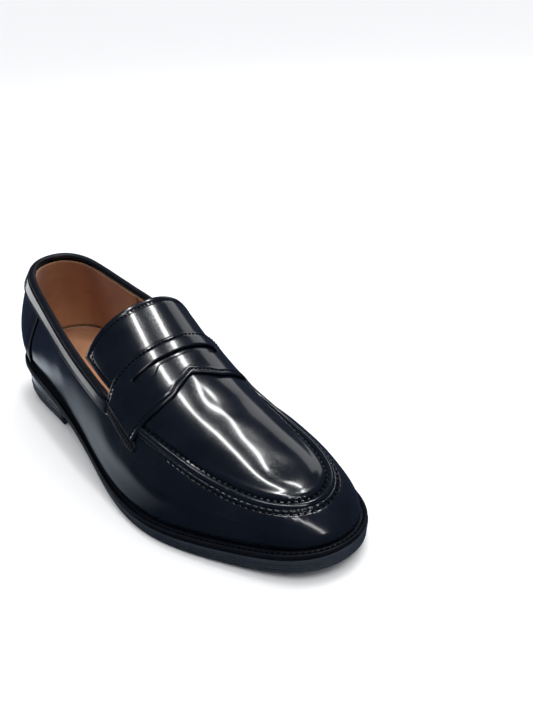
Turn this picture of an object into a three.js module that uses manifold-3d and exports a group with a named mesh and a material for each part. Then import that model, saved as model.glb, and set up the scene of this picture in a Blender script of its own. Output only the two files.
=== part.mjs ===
// Penny loafer, right foot. Millimetres, +Z up, +X to the toe, +Y to the inner side of the foot.
// The origin is on the ground, under the middle of the sole's box.
import * as THREE from 'three';
import { mergeVertices } from 'three/addons/utils/BufferGeometryUtils.js';
import Module from 'manifold-3d';

const wasm = await Module();
wasm.setup();

// ---- driving dimensions ------------------------------------------------------------------------

const soleLength = 300;
const heelHalfWidth = 37;
const waistHalfWidth = 36.7;
const ballHalfWidth = 54.1;
const toeHalfWidth = 39.6;
const toeTipHalfWidth = 33.7;   // what the sole's curve has at its very end
const waistSwing = -8.6;        // how far the waist's middle stands to the outer side
const toeSwing = 6.2;           // how far the toe's middle stands to the inner side
const heelSquareness = 24;
const toeSquareness = 18.5;

const heelHeight = 23.3;        // ground to the sole's underside at the back
const breastHeight = 13.7;      // and at the heel's front face
const waistHeight = 2.9;
const toeSpring = 5.9;
const heelPieceLength = 75;     // the heel block, from the back to its front face
const heelInset = 1;            // from the sole's edge to the heel's top
const heelTaper = 1.4;          // how far the heel narrows to its top piece, all round
const topPieceThickness = 5.5;
const liftThickness = 4;

const edgeAtHeel = 7.3;         // outsole and welt together
const edgeAtWaist = 6.6;
const edgeAtBall = 10;
const edgeAtToe = 11.4;
const edgeTaper = 0.8;          // how far the sole's edge draws in to its foot
const weltThickness = 2.8;
const weltWidth = 11.5;
const weltInset = 0.3;
const weltShow = 3.7;           // what shows of the welt outside the upper

// The collar line is the top line behind and the apron seam in front.
const collarSetBack = 18.6;     // from the sole's back end to the top line's
const apronSetBack = 19.4;      // from the sole's tip to the apron seam's
const collarHalfWidths = { heel: 27.8, middle: 33.5, quarter: 38.8, throat: 38, instep: 35.6,
  apron: 32.2, tip: 26 };
const collarSwings = { quarter: -0.9, throat: -3.2, instep: -3.9, apron: 1, tip: 4.4 };
const collarHeights = { heel: 94.5, middle: 74, throat: 58, instep: 50.5, apron: 38, tip: 31.5 };
const collarSquareness = 17;

const saddlePlace = 0.54;       // where its rear edge crosses, as a share of the sole's length
const saddleWidth = 32;         // from its rear edge to its front edge
const tongueStand = 26;         // how far the tongue stands out behind the saddle
const ridgeSetBack = 31;        // from the apron seam's tip to the end of the ridge
const crownSwings = { tongue: 6, saddle: 2, instep: -1.5, apron: 1.2, tip: 2.5 };
const crownHeights = { tongue: 96, saddle: 81, vamp: 58, apron: 48, tip: 42.5 };
const crownBlend = 26;          // the ridge's end eases in over this much, either side

const leather = 1.4;
const stiffener = 1.1;
const lining = 1;
const gap = 0.4;                // between touching layers
const insoleThickness = 2.2;
const sockThickness = 1.2;
const insoleClearance = 1.6;    // from the lining to the insole and sock
const fillerInset = 0.5;

const saddleNotch = 7;          // depth of the V in the saddle's front edge
const saddleDrawBack = 11;      // how steeply its front corners are drawn back
const slotHalfLength = 27;
const slotSetBack = 11.5;       // from the saddle's rear edge to the middle of the slot
const slotWidth = 3.4;
const slotLobe = 3;
const saddleSeamRadius = 1.6;
const apronSeamRadius = 1.3;
const threadRadius = 0.6;
const tongueUnderSaddle = 13;
const tongueCorner = 4;         // how far the tongue's corners reach behind its middle
const tongueLow = 1.11;         // where its side edges lie between the collar line and the ridge
const bindingRadius = 2.2;
const bandWidthShare = 0.12;    // the collar band, as a share of the quarter's height
const foxingReachTop = 44;      // how far forward the heel foxing reaches, from the back
const foxingReachFoot = 24;
const counterReach = 92;
const foamSetBack = 22;         // from the saddle to the collar's padding
const puffReach = 26;           // how far back the toe puff reaches, from the apron seam's tip
const heelLiningReach = 62;
const quarterLiningLap = 9;     // how far it runs on under the saddle

const shankSetBack = 26;
const shankLength = 104;
const shankWidth = 14;
const shankThickness = 1.4;
const nailRadius = 1.1;
const nailHeadRadius = 2.3;
const nailHeadHeight = 1;
const nailClearance = 0.4;
const nailDepth = 13;

const linesAround = 80;         // facets round the shoe

// ---- curves ------------------------------------------------------------------------------------

// Natural cubic curve through [x, y] knots.
function through(knots) {
  const n = knots.length;
  const bend = new Array(n).fill(0);
  const share = new Array(n).fill(0);
  for (let i = 1; i < n - 1; i++) {
    const [x0, y0] = knots[i - 1];
    const [x1, y1] = knots[i];
    const [x2, y2] = knots[i + 1];
    const sig = (x1 - x0) / (x2 - x0);
    const p = sig * bend[i - 1] + 2;
    bend[i] = (sig - 1) / p;
    const turn = (y2 - y1) / (x2 - x1) - (y1 - y0) / (x1 - x0);
    share[i] = (6 * turn / (x2 - x0) - sig * share[i - 1]) / p;
  }
  for (let i = n - 2; i >= 0; i--) bend[i] = bend[i] * bend[i + 1] + share[i];
  return (x) => {
    let i = 0;
    while (i < n - 2 && x > knots[i + 1][0]) i++;
    const [x0, y0] = knots[i];
    const [x1, y1] = knots[i + 1];
    const h = x1 - x0;
    const a = (x1 - x) / h;
    const b = (x - x0) / h;
    return a * y0 + b * y1 + ((a ** 3 - a) * bend[i] + (b ** 3 - b) * bend[i + 1]) * h * h / 6;
  };
}

const mix = (a, b, f) => a + (b - a) * f;

// A cubic arc from a to d that starts towards b and comes in from c.
function arc(a, b, c, d, f) {
  const g = 1 - f;
  return new THREE.Vector3()
    .addScaledVector(a, g ** 3)
    .addScaledVector(b, 3 * g * g * f)
    .addScaledVector(c, 3 * g * f * f)
    .addScaledVector(d, f ** 3);
}

// ---- the sole's outline and levels ---------------------------------------------------------------
// t runs once round the shoe: 0 at the back, up the outer side to 0.5 at the toe, back on the inner
// side. s is the share of the length at that place, from 0 at the heel to 1 at the toe.

const share = (t) => (1 - Math.cos(2 * Math.PI * t)) / 2;
const side = (t) => (((t % 1) + 1) % 1 < 0.5 ? -1 : 1);
const placeOf = (s) => Math.acos(1 - 2 * s) / (2 * Math.PI);
const roundEnds = (s, heel, toe) => Math.sqrt(Math.max(0, (1 - (1 - s) ** heel) * (1 - s ** toe)));

const soleHalf = through([[0, heelHalfWidth], [0.13, heelHalfWidth], [0.42, waistHalfWidth],
  [0.72, ballHalfWidth], [0.9, toeHalfWidth], [1, toeTipHalfWidth]]);
const soleSwing = through([[0, 0], [0.13, 0], [0.42, waistSwing], [0.72, 0], [0.9, toeSwing * 0.7],
  [1, toeSwing]]);

function rawOutline(t, inset) {
  const s = share(t);
  const half = (soleHalf(s) - inset) * roundEnds(s, heelSquareness, toeSquareness);
  return [(s - 0.5) * (soleLength - 2 * inset), soleSwing(s) + side(t) * half];
}

const widest = Array.from({ length: 200 }, (_, i) => rawOutline(i / 200, 0)[1]);
const middleY = (Math.max(...widest) + Math.min(...widest)) / 2;

function outline(t, inset, z = 0) {
  const [x, y] = rawOutline(t, inset);
  return new THREE.Vector3(x, y - middleY, z);
}

const breastShare = heelPieceLength / soleLength;
const underside = through([[0, heelHeight], [breastShare, breastHeight], [0.45, waistHeight], [0.66, 0],
  [0.82, toeSpring * 0.2], [1, toeSpring]]);
const edge = through([[0, edgeAtHeel], [0.3, edgeAtWaist], [0.7, edgeAtBall], [1, edgeAtToe]]);
const seat = (s) => underside(s) + edge(s);               // top of the welt
const outsoleTop = (s) => seat(s) - weltThickness - gap;

// ---- the upper's surface -------------------------------------------------------------------------
// The wall rises from the feather line to the collar line: the top line behind, the apron seam in
// front. The top spans from the collar line to the ridge in the middle.

const collarHalf = through([[0, collarHalfWidths.heel], [0.11, collarHalfWidths.heel],
  [0.27, collarHalfWidths.middle], [0.45, collarHalfWidths.quarter], [0.54, collarHalfWidths.throat],
  [0.66, collarHalfWidths.instep], [0.83, collarHalfWidths.apron], [1, collarHalfWidths.tip]]);
const collarSwing = through([[0, 0], [0.3, 0], [0.45, collarSwings.quarter], [0.54, collarSwings.throat],
  [0.66, collarSwings.instep], [0.83, collarSwings.apron], [1, collarSwings.tip]]);
const collarZ = through([[0, collarHeights.heel], [0.27, collarHeights.middle],
  [0.54, collarHeights.throat], [0.66, collarHeights.instep], [0.83, collarHeights.apron],
  [1, collarHeights.tip]]);
const collarBackX = collarSetBack - soleLength / 2;
const collarLength = soleLength - collarSetBack - apronSetBack;
const collarX = (s) => collarBackX + s * collarLength;
const collarShare = (x) => (x - collarBackX) / collarLength;

function feather(t) {
  return outline(t, weltShow, seat(share(t)));
}

function collar(t) {
  const s = share(t);
  const half = collarHalf(s) * roundEnds(s, collarSquareness, collarSquareness);
  return new THREE.Vector3(collarX(s), collarSwing(s) - middleY + side(t) * half, collarZ(s));
}

function outward(t) {
  const step = 1e-4;
  const along = collar(t + step).sub(collar(t - step));
  return new THREE.Vector3(-along.y, along.x, 0).normalize().negate();
}

const footBulge = through([[0, 5], [0.13, 4], [0.42, 8], [0.6, 6], [0.72, 3.5], [0.9, 2], [1, 2]]);
const footRise = through([[0, 0.36], [0.5, 0.36], [0.72, 0.38], [1, 0.42]]);
const rimBulge = through([[0, 9], [0.13, 5], [0.42, 3], [0.6, 4.5], [0.72, 8.5], [0.9, 8], [1, 7]]);
const rimDrop = through([[0, 0.36], [0.42, 0.3], [0.6, 0.28], [0.72, 0.18], [1, 0.14]]);

function wall(t, v) {
  const s = share(t);
  const foot = feather(t);
  const rim = collar(t);
  const out = outward(t);
  const height = rim.z - foot.z;
  const low = foot.clone().addScaledVector(out, footBulge(s));
  low.z += height * footRise(s);
  const high = rim.clone().addScaledVector(out, rimBulge(s));
  high.z -= height * rimDrop(s);
  return arc(foot, low, high, rim, v);
}

const saddleRearX = (saddlePlace - 0.5) * soleLength;
const saddleFrontX = saddleRearX + saddleWidth;
const tongueTopX = saddleRearX - tongueStand;
const toeCrownX = collarX(1) - ridgeSetBack;
const vampX = mix(saddleFrontX, toeCrownX, 0.29);
const apronX = mix(saddleFrontX, toeCrownX, 0.73);

const crownZ = through([[tongueTopX, crownHeights.tongue], [saddleRearX, crownHeights.saddle],
  [vampX, crownHeights.vamp], [apronX, crownHeights.apron], [toeCrownX, crownHeights.tip]]);
const crownSwing = through([[tongueTopX, crownSwings.tongue], [saddleRearX, crownSwings.saddle],
  [saddleFrontX, crownSwings.instep], [apronX, crownSwings.apron], [toeCrownX, crownSwings.tip]]);
const ridgeStep = 0.1;          // lines that meet the ridge closer than this share a point

function crownX(x) {
  const u = (x - (toeCrownX - crownBlend)) / (2 * crownBlend);
  if (u <= 0) return x;
  const w = Math.min(u, 1);
  const eased = toeCrownX - crownBlend + 2 * crownBlend * (w - w ** 3 + w ** 4 / 2);
  return Math.round(eased / ridgeStep) * ridgeStep;
}

function crown(t) {
  const x = crownX(collarX(share(t)));
  return new THREE.Vector3(x, crownSwing(x) - middleY, crownZ(x));
}

const crownSlope = (x) => (crownZ(x + 0.1) - crownZ(x - 0.1)) / 0.2;
const shoulderReach = through([[0, 0.15], [0.5, 0.15], [0.66, 0.2], [0.75, 0.3], [1, 0.35]]);
const shoulderRise = through([[0, 0.72], [0.5, 0.72], [0.6, 0.68], [0.7, 0.66], [1, 0.66]]);
const ridgeReach = through([[0, 0.5], [0.5, 0.5], [0.62, 0.47], [0.7, 0.45], [1, 0.45]]);

function top(t, w) {
  const s = share(t);
  const rim = collar(t);
  const ridge = crown(t);
  const near = rim.clone().lerp(new THREE.Vector3(ridge.x, ridge.y, rim.z), shoulderReach(s));
  near.z += (ridge.z - rim.z) * shoulderRise(s);
  const far = ridge.clone().lerp(new THREE.Vector3(rim.x, rim.y, ridge.z), ridgeReach(s));
  far.z += crownSlope(ridge.x) * (far.x - ridge.x);
  return arc(rim, near, far, ridge, w);
}

// One coordinate up the whole upper: q from 0 at the feather, 1 at the collar line, 2 at the ridge.
const upper = (t, q) => (q <= 1 ? wall(t, q) : top(t, q - 1));

function facing(t, q) {
  const step = 2e-3;
  const low = q > 1 ? Math.max(q - step, 1) : q - step;
  const high = q > 1 ? q + step : Math.min(q + step, 1);
  const alongT = upper(t + step, q).sub(upper(t - step, q));
  const alongQ = upper(t, high).sub(upper(t, low));
  return alongT.cross(alongQ).normalize();
}

// The ridge's own facing, which both sides share.
const ridgeFacing = (x) => new THREE.Vector3(-crownSlope(x), 0, 1).normalize();

// A point at a depth under the upper's surface.
function skin(t, q, depth) {
  const p = upper(t, q);
  if (q >= 2) return p.addScaledVector(ridgeFacing(p.x), -depth);
  const n = facing(t, q);
  const fold = 0.03;            // the facing is evened out across the collar line
  if (Math.abs(q - 1) < fold) n.add(facing(t, 1 - fold)).add(facing(t, 1 + fold)).normalize();
  return p.addScaledVector(n, -depth);
}

// ---- closed bodies from grids --------------------------------------------------------------------

// outer and inner are grids of points of the same size. The body between them is closed by a rim,
// or runs round into itself where ring is true. Points that coincide are merged, and where the last
// column is a ridge that both sides share, it has no rim.
function slab(outer, inner, ring = false, ridge = false) {
  const points = [];
  const keys = new Map();
  const id = (p) => {
    const key = `${p.x.toFixed(3)},${p.y.toFixed(3)},${p.z.toFixed(3)}`;
    if (!keys.has(key)) {
      keys.set(key, points.length / 3);
      points.push(p.x, p.y, p.z);
    }
    return keys.get(key);
  };
  const index = [];
  const tri = (a, b, c) => {
    if (a !== b && b !== c && c !== a) index.push(a, b, c);
  };
  const quad = (a, b, c, d) => {
    tri(a, b, c);
    tri(a, c, d);
  };
  const a = outer.map((row) => row.map(id));
  const b = inner.map((row) => row.map(id));
  const rows = a.length;
  const cols = a[0].length;
  const last = ring ? rows : rows - 1;
  for (let i = 0; i < last; i++) {
    const k = (i + 1) % rows;
    for (let j = 0; j < cols - 1; j++) {
      quad(a[i][j], a[k][j], a[k][j + 1], a[i][j + 1]);
      quad(b[i][j], b[i][j + 1], b[k][j + 1], b[k][j]);
    }
    quad(a[i][0], b[i][0], b[k][0], a[k][0]);
    if (!ridge) quad(a[i][cols - 1], a[k][cols - 1], b[k][cols - 1], b[i][cols - 1]);
  }
  if (!ring) {
    for (let j = 0; j < cols - 1; j++) {
      quad(a[0][j], a[0][j + 1], b[0][j + 1], b[0][j]);
      quad(a[rows - 1][j], b[rows - 1][j], b[rows - 1][j + 1], a[rows - 1][j + 1]);
    }
  }
  const body = new THREE.BufferGeometry();
  body.setAttribute('position', new THREE.Float32BufferAttribute(points, 3));
  body.setIndex(index);
  return outwards(body);
}

// Turns a closed body's faces out if they point in.
function outwards(body) {
  const p = body.getAttribute('position');
  const index = body.getIndex();
  const [a, b, c] = [0, 1, 2].map(() => new THREE.Vector3());
  let volume = 0;
  for (let i = 0; i < index.count; i += 3) {
    a.fromBufferAttribute(p, index.getX(i));
    b.fromBufferAttribute(p, index.getX(i + 1));
    c.fromBufferAttribute(p, index.getX(i + 2));
    volume += a.dot(b.cross(c));
  }
  if (volume < 0) {
    for (let i = 0; i < index.count; i += 3) {
      const keep = index.getX(i);
      index.setX(i, index.getX(i + 1));
      index.setX(i + 1, keep);
    }
  }
  return body;
}

const steps = (from, to, count) => Array.from({ length: count + 1 }, (_, i) => mix(from, to, i / count));

// A patch of one layer of the upper. place(a) is t, heights(t) gives the two ends in q.
function layer(from, to, heights, depth, thickness, rows = 8) {
  const count = Math.max(2, Math.round((to - from) * linesAround));
  const ts = steps(from, to, count);
  const grid = (d) => ts.map((t) => {
    const [low, high] = heights(((t % 1) + 1) % 1);
    return steps(low, high, rows).map((q) => skin(t, q, d));
  });
  return slab(grid(depth), grid(depth + thickness), false, heights(0.5)[1] === 2);
}

// A plate on the sole's outline, from share s0 to s1, between two levels that follow the length.
function plate(s0, s1, topInset, topZ, footInset, footZ) {
  const count = Math.max(3, Math.round((placeOf(s1) - placeOf(s0)) * linesAround));
  const ts = steps(placeOf(s0), placeOf(s1), count);
  const grid = (inset, level) => ts.map((t) => {
    const z = level(share(t));
    return [outline(t, inset, z), outline(1 - t, inset, z)];
  });
  return slab(grid(topInset, topZ), grid(footInset, footZ));
}

// A round cord along a curve.
function cord(points, radius, count, sides = 6) {
  const ring = Array.from({ length: sides }, (_, i) => new THREE.Vector2(
    radius * Math.cos(2 * Math.PI * i / sides), radius * Math.sin(2 * Math.PI * i / sides)));
  const path = new THREE.CatmullRomCurve3(points, false, 'centripetal');
  return new THREE.ExtrudeGeometry(new THREE.Shape(ring), { steps: count, extrudePath: path });
}

function solidOf(geometry) {
  const bare = geometry.clone();
  bare.deleteAttribute('normal');
  bare.deleteAttribute('uv');
  const merged = mergeVertices(bare, 1e-3);
  return new wasm.Manifold(new wasm.Mesh({
    numProp: 3,
    vertProperties: new Float32Array(merged.getAttribute('position').array),
    triVerts: new Uint32Array(merged.getIndex().array),
  }));
}

function bodyOf(solid) {
  const mesh = solid.getMesh();
  const body = new THREE.BufferGeometry();
  body.setAttribute('position', new THREE.Float32BufferAttribute(mesh.vertProperties, 3));
  body.setIndex(Array.from(mesh.triVerts));
  return body;
}

function cut(geometry, cutters) {
  return bodyOf(cutters.reduce((solid, cutter) => solid.subtract(solidOf(cutter)), solidOf(geometry)));
}

// ---- materials and assembly ----------------------------------------------------------------------

const finishes = {
  polished: { color: 0x0c0d10, roughness: 0.16, metalness: 0 },
  binding: { color: 0x121214, roughness: 0.6, metalness: 0 },
  tan: { color: 0x8c4628, roughness: 0.6, metalness: 0 },
  rubber: { color: 0x151515, roughness: 0.7, metalness: 0 },
  heel: { color: 0x1c1b1c, roughness: 0.35, metalness: 0 },
  board: { color: 0x9a7b58, roughness: 0.9, metalness: 0 },
  cork: { color: 0xa87d4f, roughness: 0.95, metalness: 0 },
  foam: { color: 0xd8cfb0, roughness: 0.95, metalness: 0 },
  thread: { color: 0x0a0a0b, roughness: 0.7, metalness: 0 },
  steel: { color: 0x8c9096, roughness: 0.35, metalness: 1 },
};

const shoe = new THREE.Group();

function add(name, geometry, finish) {
  const mesh = new THREE.Mesh(geometry, new THREE.MeshStandardMaterial(finishes[finish]));
  mesh.name = name;
  shoe.add(mesh);
}

// ---- sole unit -----------------------------------------------------------------------------------

const nailRows = [[0.27, 0], [0.45, 17], [0.77, 19]]; // share of the heel's length, and half the spread
const nailPlaces = nailRows.flatMap(([place, y]) => (y ? [-y, y] : [0])
  .map((k) => [place * heelPieceLength - soleLength / 2, k - middleY]));
const shareAt = (x) => x / soleLength + 0.5;
const fillerStart = 0.56;       // shares of the sole's length
const padEnd = 0.325;
const sockStart = 0.33;

function pin(x, y, radius, low, high, sides = 10) {
  const body = new THREE.CylinderGeometry(radius, radius, high - low, sides);
  body.rotateX(Math.PI / 2);
  body.translate(x, y, (low + high) / 2);
  return body;
}

// Cutters for the nails, from under the heel to over the insole.
const nailHoles = (radius) => nailPlaces.map(([x, y]) =>
  pin(x, y, radius + nailClearance, -1, seat(0) + insoleThickness));

function makeSole() {
  add('outsole', cut(plate(0, 1, 0, outsoleTop, edgeTaper, underside), nailHoles(nailRadius)), 'rubber');

  const ts = steps(0, 1, linesAround).slice(0, -1);
  const ring = (level) => ts.map((t) => [outline(t, weltInset, level(share(t))),
    outline(t, weltWidth, level(share(t)))]);
  add('welt', slab(ring(seat), ring((s) => seat(s) - weltThickness), true), 'polished');

  const threadPath = steps(placeOf(breastShare), 1 - placeOf(breastShare), linesAround)
    .map((t) => outline(t, weltShow / 2, seat(share(t)) + threadRadius + gap));
  add('welt_thread', cord(threadPath, threadRadius, linesAround, 5), 'thread');

  const fillerTop = (s) => seat(s) - gap;
  const fillerFoot = (s) => outsoleTop(s) + gap;
  const inside = weltWidth + fillerInset;
  add('cork_filler', plate(fillerStart, 1, inside, fillerTop, inside, fillerFoot), 'cork');

  const upperThickness = leather + stiffener + lining + 3 * gap;
  const inset = weltShow + upperThickness + insoleClearance;
  const insoleTop = (s) => seat(s) + gap + insoleThickness;
  const sockFoot = (s) => insoleTop(s) + gap;
  const sockTop = (s) => sockFoot(s) + sockThickness;
  add('insole_board', plate(0, 1, inset, insoleTop, inset, (s) => seat(s) + gap), 'board');
  add('sock_lining', plate(sockStart, 1, inset, sockTop, inset, sockFoot), 'tan');
  add('heel_pad', plate(0, padEnd, inset, sockTop, inset, sockFoot), 'tan');

  const level = (s) => (outsoleTop(s) + seat(s)) / 2;
  const shankBack = shankSetBack - soleLength / 2;
  const stations = steps(shareAt(shankBack), shareAt(shankBack + shankLength), 10);
  const strip = (lift) => stations.map((s) => [-1, 1].map((k) => new THREE.Vector3(
    (s - 0.5) * soleLength, soleSwing(s) - middleY + k * shankWidth / 2, level(s) + lift)));
  const bar = slab(strip(shankThickness / 2), strip(-shankThickness / 2));
  add('shank', cut(bar, nailHoles(nailHeadRadius)), 'steel');
}

function makeHeel() {
  const liftFoot = topPieceThickness + gap;
  const liftTop = liftFoot + liftThickness;
  const baseFoot = liftTop + gap;
  const inset = (z) => heelInset + heelTaper * (1 - z / heelHeight);
  const block = (low, high, lowZ, highZ) => plate(0, breastShare, inset(highZ), high, inset(lowZ), low);
  const level = (z) => () => z;
  const base = block(level(baseFoot), (s) => underside(s) - gap, baseFoot, heelHeight);
  add('heel_base', cut(base, nailHoles(nailRadius)), 'heel');
  add('heel_lift', block(level(liftFoot), level(liftTop), topPieceThickness, liftTop), 'heel');
  add('top_piece', block(level(0), level(topPieceThickness), 0, topPieceThickness), 'rubber');

  nailPlaces.forEach(([x, y], i) => {
    const headFoot = outsoleTop(shareAt(x)) + gap;
    const tip = Math.max(headFoot - nailDepth, baseFoot + gap);
    const shaft = pin(x, y, nailRadius, tip, headFoot + nailHeadHeight / 2);
    const head = pin(x, y, nailHeadRadius, headFoot, headFoot + nailHeadHeight);
    add(`heel_nail_${i + 1}`, bodyOf(solidOf(shaft).add(solidOf(head))), 'steel');
  });
}

// ---- upper ---------------------------------------------------------------------------------------

const foot = 0.012;             // the wall's foot stands just clear of the welt
const rimEnd = 0.985;           // and its top edge just under the collar line
const backSeam = 0.004;         // half the gap of the back seam, in t
const liningSeam = 0.0016;      // between two pieces of lining, in t
const liningFoot = 0.052;
const liningEnd = 0.97;
const tOf = (x) => placeOf(collarShare(x));

function makeWall() {
  add('side_wall', layer(backSeam, 1 - backSeam, () => [foot, rimEnd], 0, leather, 7), 'polished');

  const rows = 7;
  const columns = 16;
  const grid = (d) => steps(foot, 1 - bandWidthShare - 0.02, rows).map((q) => {
    const t = tOf(collarBackX + mix(foxingReachFoot, foxingReachTop, q));
    return steps(-t, t, columns).map((place) => skin(place, q, d));
  });
  add('heel_foxing', slab(grid(-gap - leather), grid(-gap)), 'polished');

  const throat = tOf(saddleRearX - 3 * saddleSeamRadius);
  const bandHeights = () => [1 - bandWidthShare, rimEnd - 0.01];
  add('collar_band', layer(-throat, throat, bandHeights, -gap - leather, leather, 2), 'polished');

  const bindingPath = steps(-throat, throat, linesAround).map((t) => {
    const p = skin(t, 1, leather / 2);
    p.z += bindingRadius + gap;
    return p;
  });
  add('topline_binding', cord(bindingPath, bindingRadius, linesAround, 7), 'binding');
}

function makeStiffeners() {
  const depth = leather + gap;
  const counter = tOf(collarBackX + counterReach);
  const counterTop = (t) => mix(0.7, 0.35, Math.min(t, 1 - t) / counter);
  add('heel_counter', layer(-counter, counter, (t) => [foot + 0.01, counterTop(t)], depth, stiffener, 5),
    'board');
  const puff = tOf(collarBackX + collarLength - puffReach);
  add('toe_puff', layer(puff, 1 - puff, () => [foot + 0.03, 0.93], depth, stiffener, 5), 'board');
  const foamEnd = tOf(saddleRearX - foamSetBack);
  add('collar_foam', layer(-foamEnd, foamEnd, () => [0.76, 0.95], depth, stiffener, 2), 'foam');
}

function makeLinings() {
  const depth = leather + stiffener + 2 * gap;
  const heelEnd = tOf(collarBackX + heelLiningReach);
  const quarterEnd = tOf(saddleRearX + quarterLiningLap);
  const line = (name, from, to, high, rows) =>
    add(name, layer(from, to, () => [liningFoot, high], depth, lining, rows), 'tan');
  line('heel_lining', -heelEnd, heelEnd, liningEnd, 7);
  line('quarter_lining_outer', heelEnd + liningSeam, quarterEnd - liningSeam, liningEnd, 7);
  line('quarter_lining_inner', 1 - quarterEnd + liningSeam, 1 - heelEnd - liningSeam, liningEnd, 7);
  line('vamp_lining', quarterEnd + liningSeam, 1 - quarterEnd - liningSeam, 2, 10);
}

// Strips that cross the ridge, from the outer side to the inner one: c runs from -1 to 1. rear(c)
// and front(c) are the ends' x, and low(a) is where the strip's ends lie at a share a of its length.
function strap(rear, front, low, depth, thickness, rows, cols) {
  const grid = (d) => steps(0, 1, rows).map((a) => steps(-1, 1, cols).map((c) => {
    const t = tOf(mix(rear(c), front(c), a));
    return skin(c < 0 ? t : 1 - t, mix(2, low(a), Math.abs(c)), d);
  }));
  return slab(grid(depth), grid(depth + thickness));
}

// The penny slot: straight behind, with a lobe at each end in front.
function slotCutter() {
  const at = (share) => share * slotHalfLength;
  const back = -slotWidth / 2;
  const front = slotWidth / 2;
  const slot = new THREE.Shape();
  slot.moveTo(back, at(-1));
  slot.lineTo(back, at(1));
  slot.quadraticCurveTo(front + slotLobe, at(0.95), front + slotLobe, at(0.62));
  slot.lineTo(front, at(0.45));
  slot.lineTo(front, at(-0.45));
  slot.lineTo(front + slotLobe, at(-0.62));
  slot.quadraticCurveTo(front + slotLobe, at(-0.95), back, at(-1));
  const low = collarHeights.instep;
  const depth = crownHeights.tongue - low;
  const cutter = new THREE.ExtrudeGeometry(slot, { depth, bevelEnabled: false, curveSegments: 4 });
  return cutter.translate(saddleRearX + slotSetBack, crownSwings.saddle - middleY, low);
}

function makeTop() {
  const apronRear = tOf(saddleRearX + tongueUnderSaddle + 3);
  add('apron', layer(apronRear, 1 - apronRear, () => [1.02, 2], 0, leather, 6), 'polished');

  const seamRear = tOf(saddleFrontX + 2 * apronSeamRadius);
  const seamPath = steps(seamRear, 1 - seamRear, linesAround)
    .map((t) => skin(t, 1, -apronSeamRadius - gap));
  add('apron_seam_ridge', cord(seamPath, apronSeamRadius, 48, 6), 'polished');

  const notchShare = 0.3;       // the V's half width, as a share of the strap's half
  const cornerShare = 0.45;     // and how much of each half is drawn back
  const front = (c) => saddleFrontX - saddleNotch * Math.max(0, 1 - Math.abs(c) / notchShare)
    - saddleDrawBack * Math.max(0, Math.abs(c) - 1 + cornerShare);
  const saddleLow = (a) => mix(0.985, 0.8, a);
  const saddle = strap(() => saddleRearX, front, saddleLow, -gap - leather, leather, 8, 24);
  add('saddle_strap', cut(saddle, [slotCutter()]), 'polished');

  const tongueTop = (c) => tongueTopX - tongueCorner * Math.abs(c) ** 3;
  const tongueEnd = () => saddleRearX + tongueUnderSaddle;
  const tongue = (depth, thickness) =>
    strap(tongueTop, tongueEnd, () => tongueLow, depth, thickness, 6, 20);
  add('tongue', tongue(0, leather), 'polished');
  add('tongue_lining', tongue(leather + gap, lining), 'tan');

  for (const [name, turned] of [['outer', false], ['inner', true]]) {
    const path = steps(0, 1, 8).map((a) => {
      const t = tOf(mix(saddleRearX, front(1), a));
      return skin(turned ? 1 - t : t, saddleLow(a) - 0.06, -saddleSeamRadius - gap);
    });
    add(`saddle_seam_${name}`, cord(path, saddleSeamRadius, 14, 8), 'binding');
  }
}

makeSole();
makeHeel();
makeWall();
makeStiffeners();
makeLinings();
makeTop();

export default shoe;
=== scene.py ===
import bpy
import bmesh
import math
import numpy as np
from mathutils import Matrix, Vector


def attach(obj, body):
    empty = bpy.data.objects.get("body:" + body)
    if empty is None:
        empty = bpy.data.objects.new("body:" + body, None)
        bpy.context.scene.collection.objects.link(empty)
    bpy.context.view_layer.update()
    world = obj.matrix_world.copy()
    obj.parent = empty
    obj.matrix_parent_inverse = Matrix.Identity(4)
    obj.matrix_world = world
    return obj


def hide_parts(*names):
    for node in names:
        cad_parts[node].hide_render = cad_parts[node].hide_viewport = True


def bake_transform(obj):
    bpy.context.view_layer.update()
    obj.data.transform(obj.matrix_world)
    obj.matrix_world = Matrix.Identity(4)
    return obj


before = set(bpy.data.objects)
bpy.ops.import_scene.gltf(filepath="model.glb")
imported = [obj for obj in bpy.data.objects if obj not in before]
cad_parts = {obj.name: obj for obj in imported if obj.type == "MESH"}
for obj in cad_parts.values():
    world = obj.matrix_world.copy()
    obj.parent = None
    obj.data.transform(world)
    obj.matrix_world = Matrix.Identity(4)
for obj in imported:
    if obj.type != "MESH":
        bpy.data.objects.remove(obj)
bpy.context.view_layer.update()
print("frame loaded,", len(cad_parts), "nodes")

# Lengths are millimetres until a mesh is made. x runs to the toe, y to the inner side, z up.
toMetres = 0.001

# the last the shoe is built on

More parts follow.
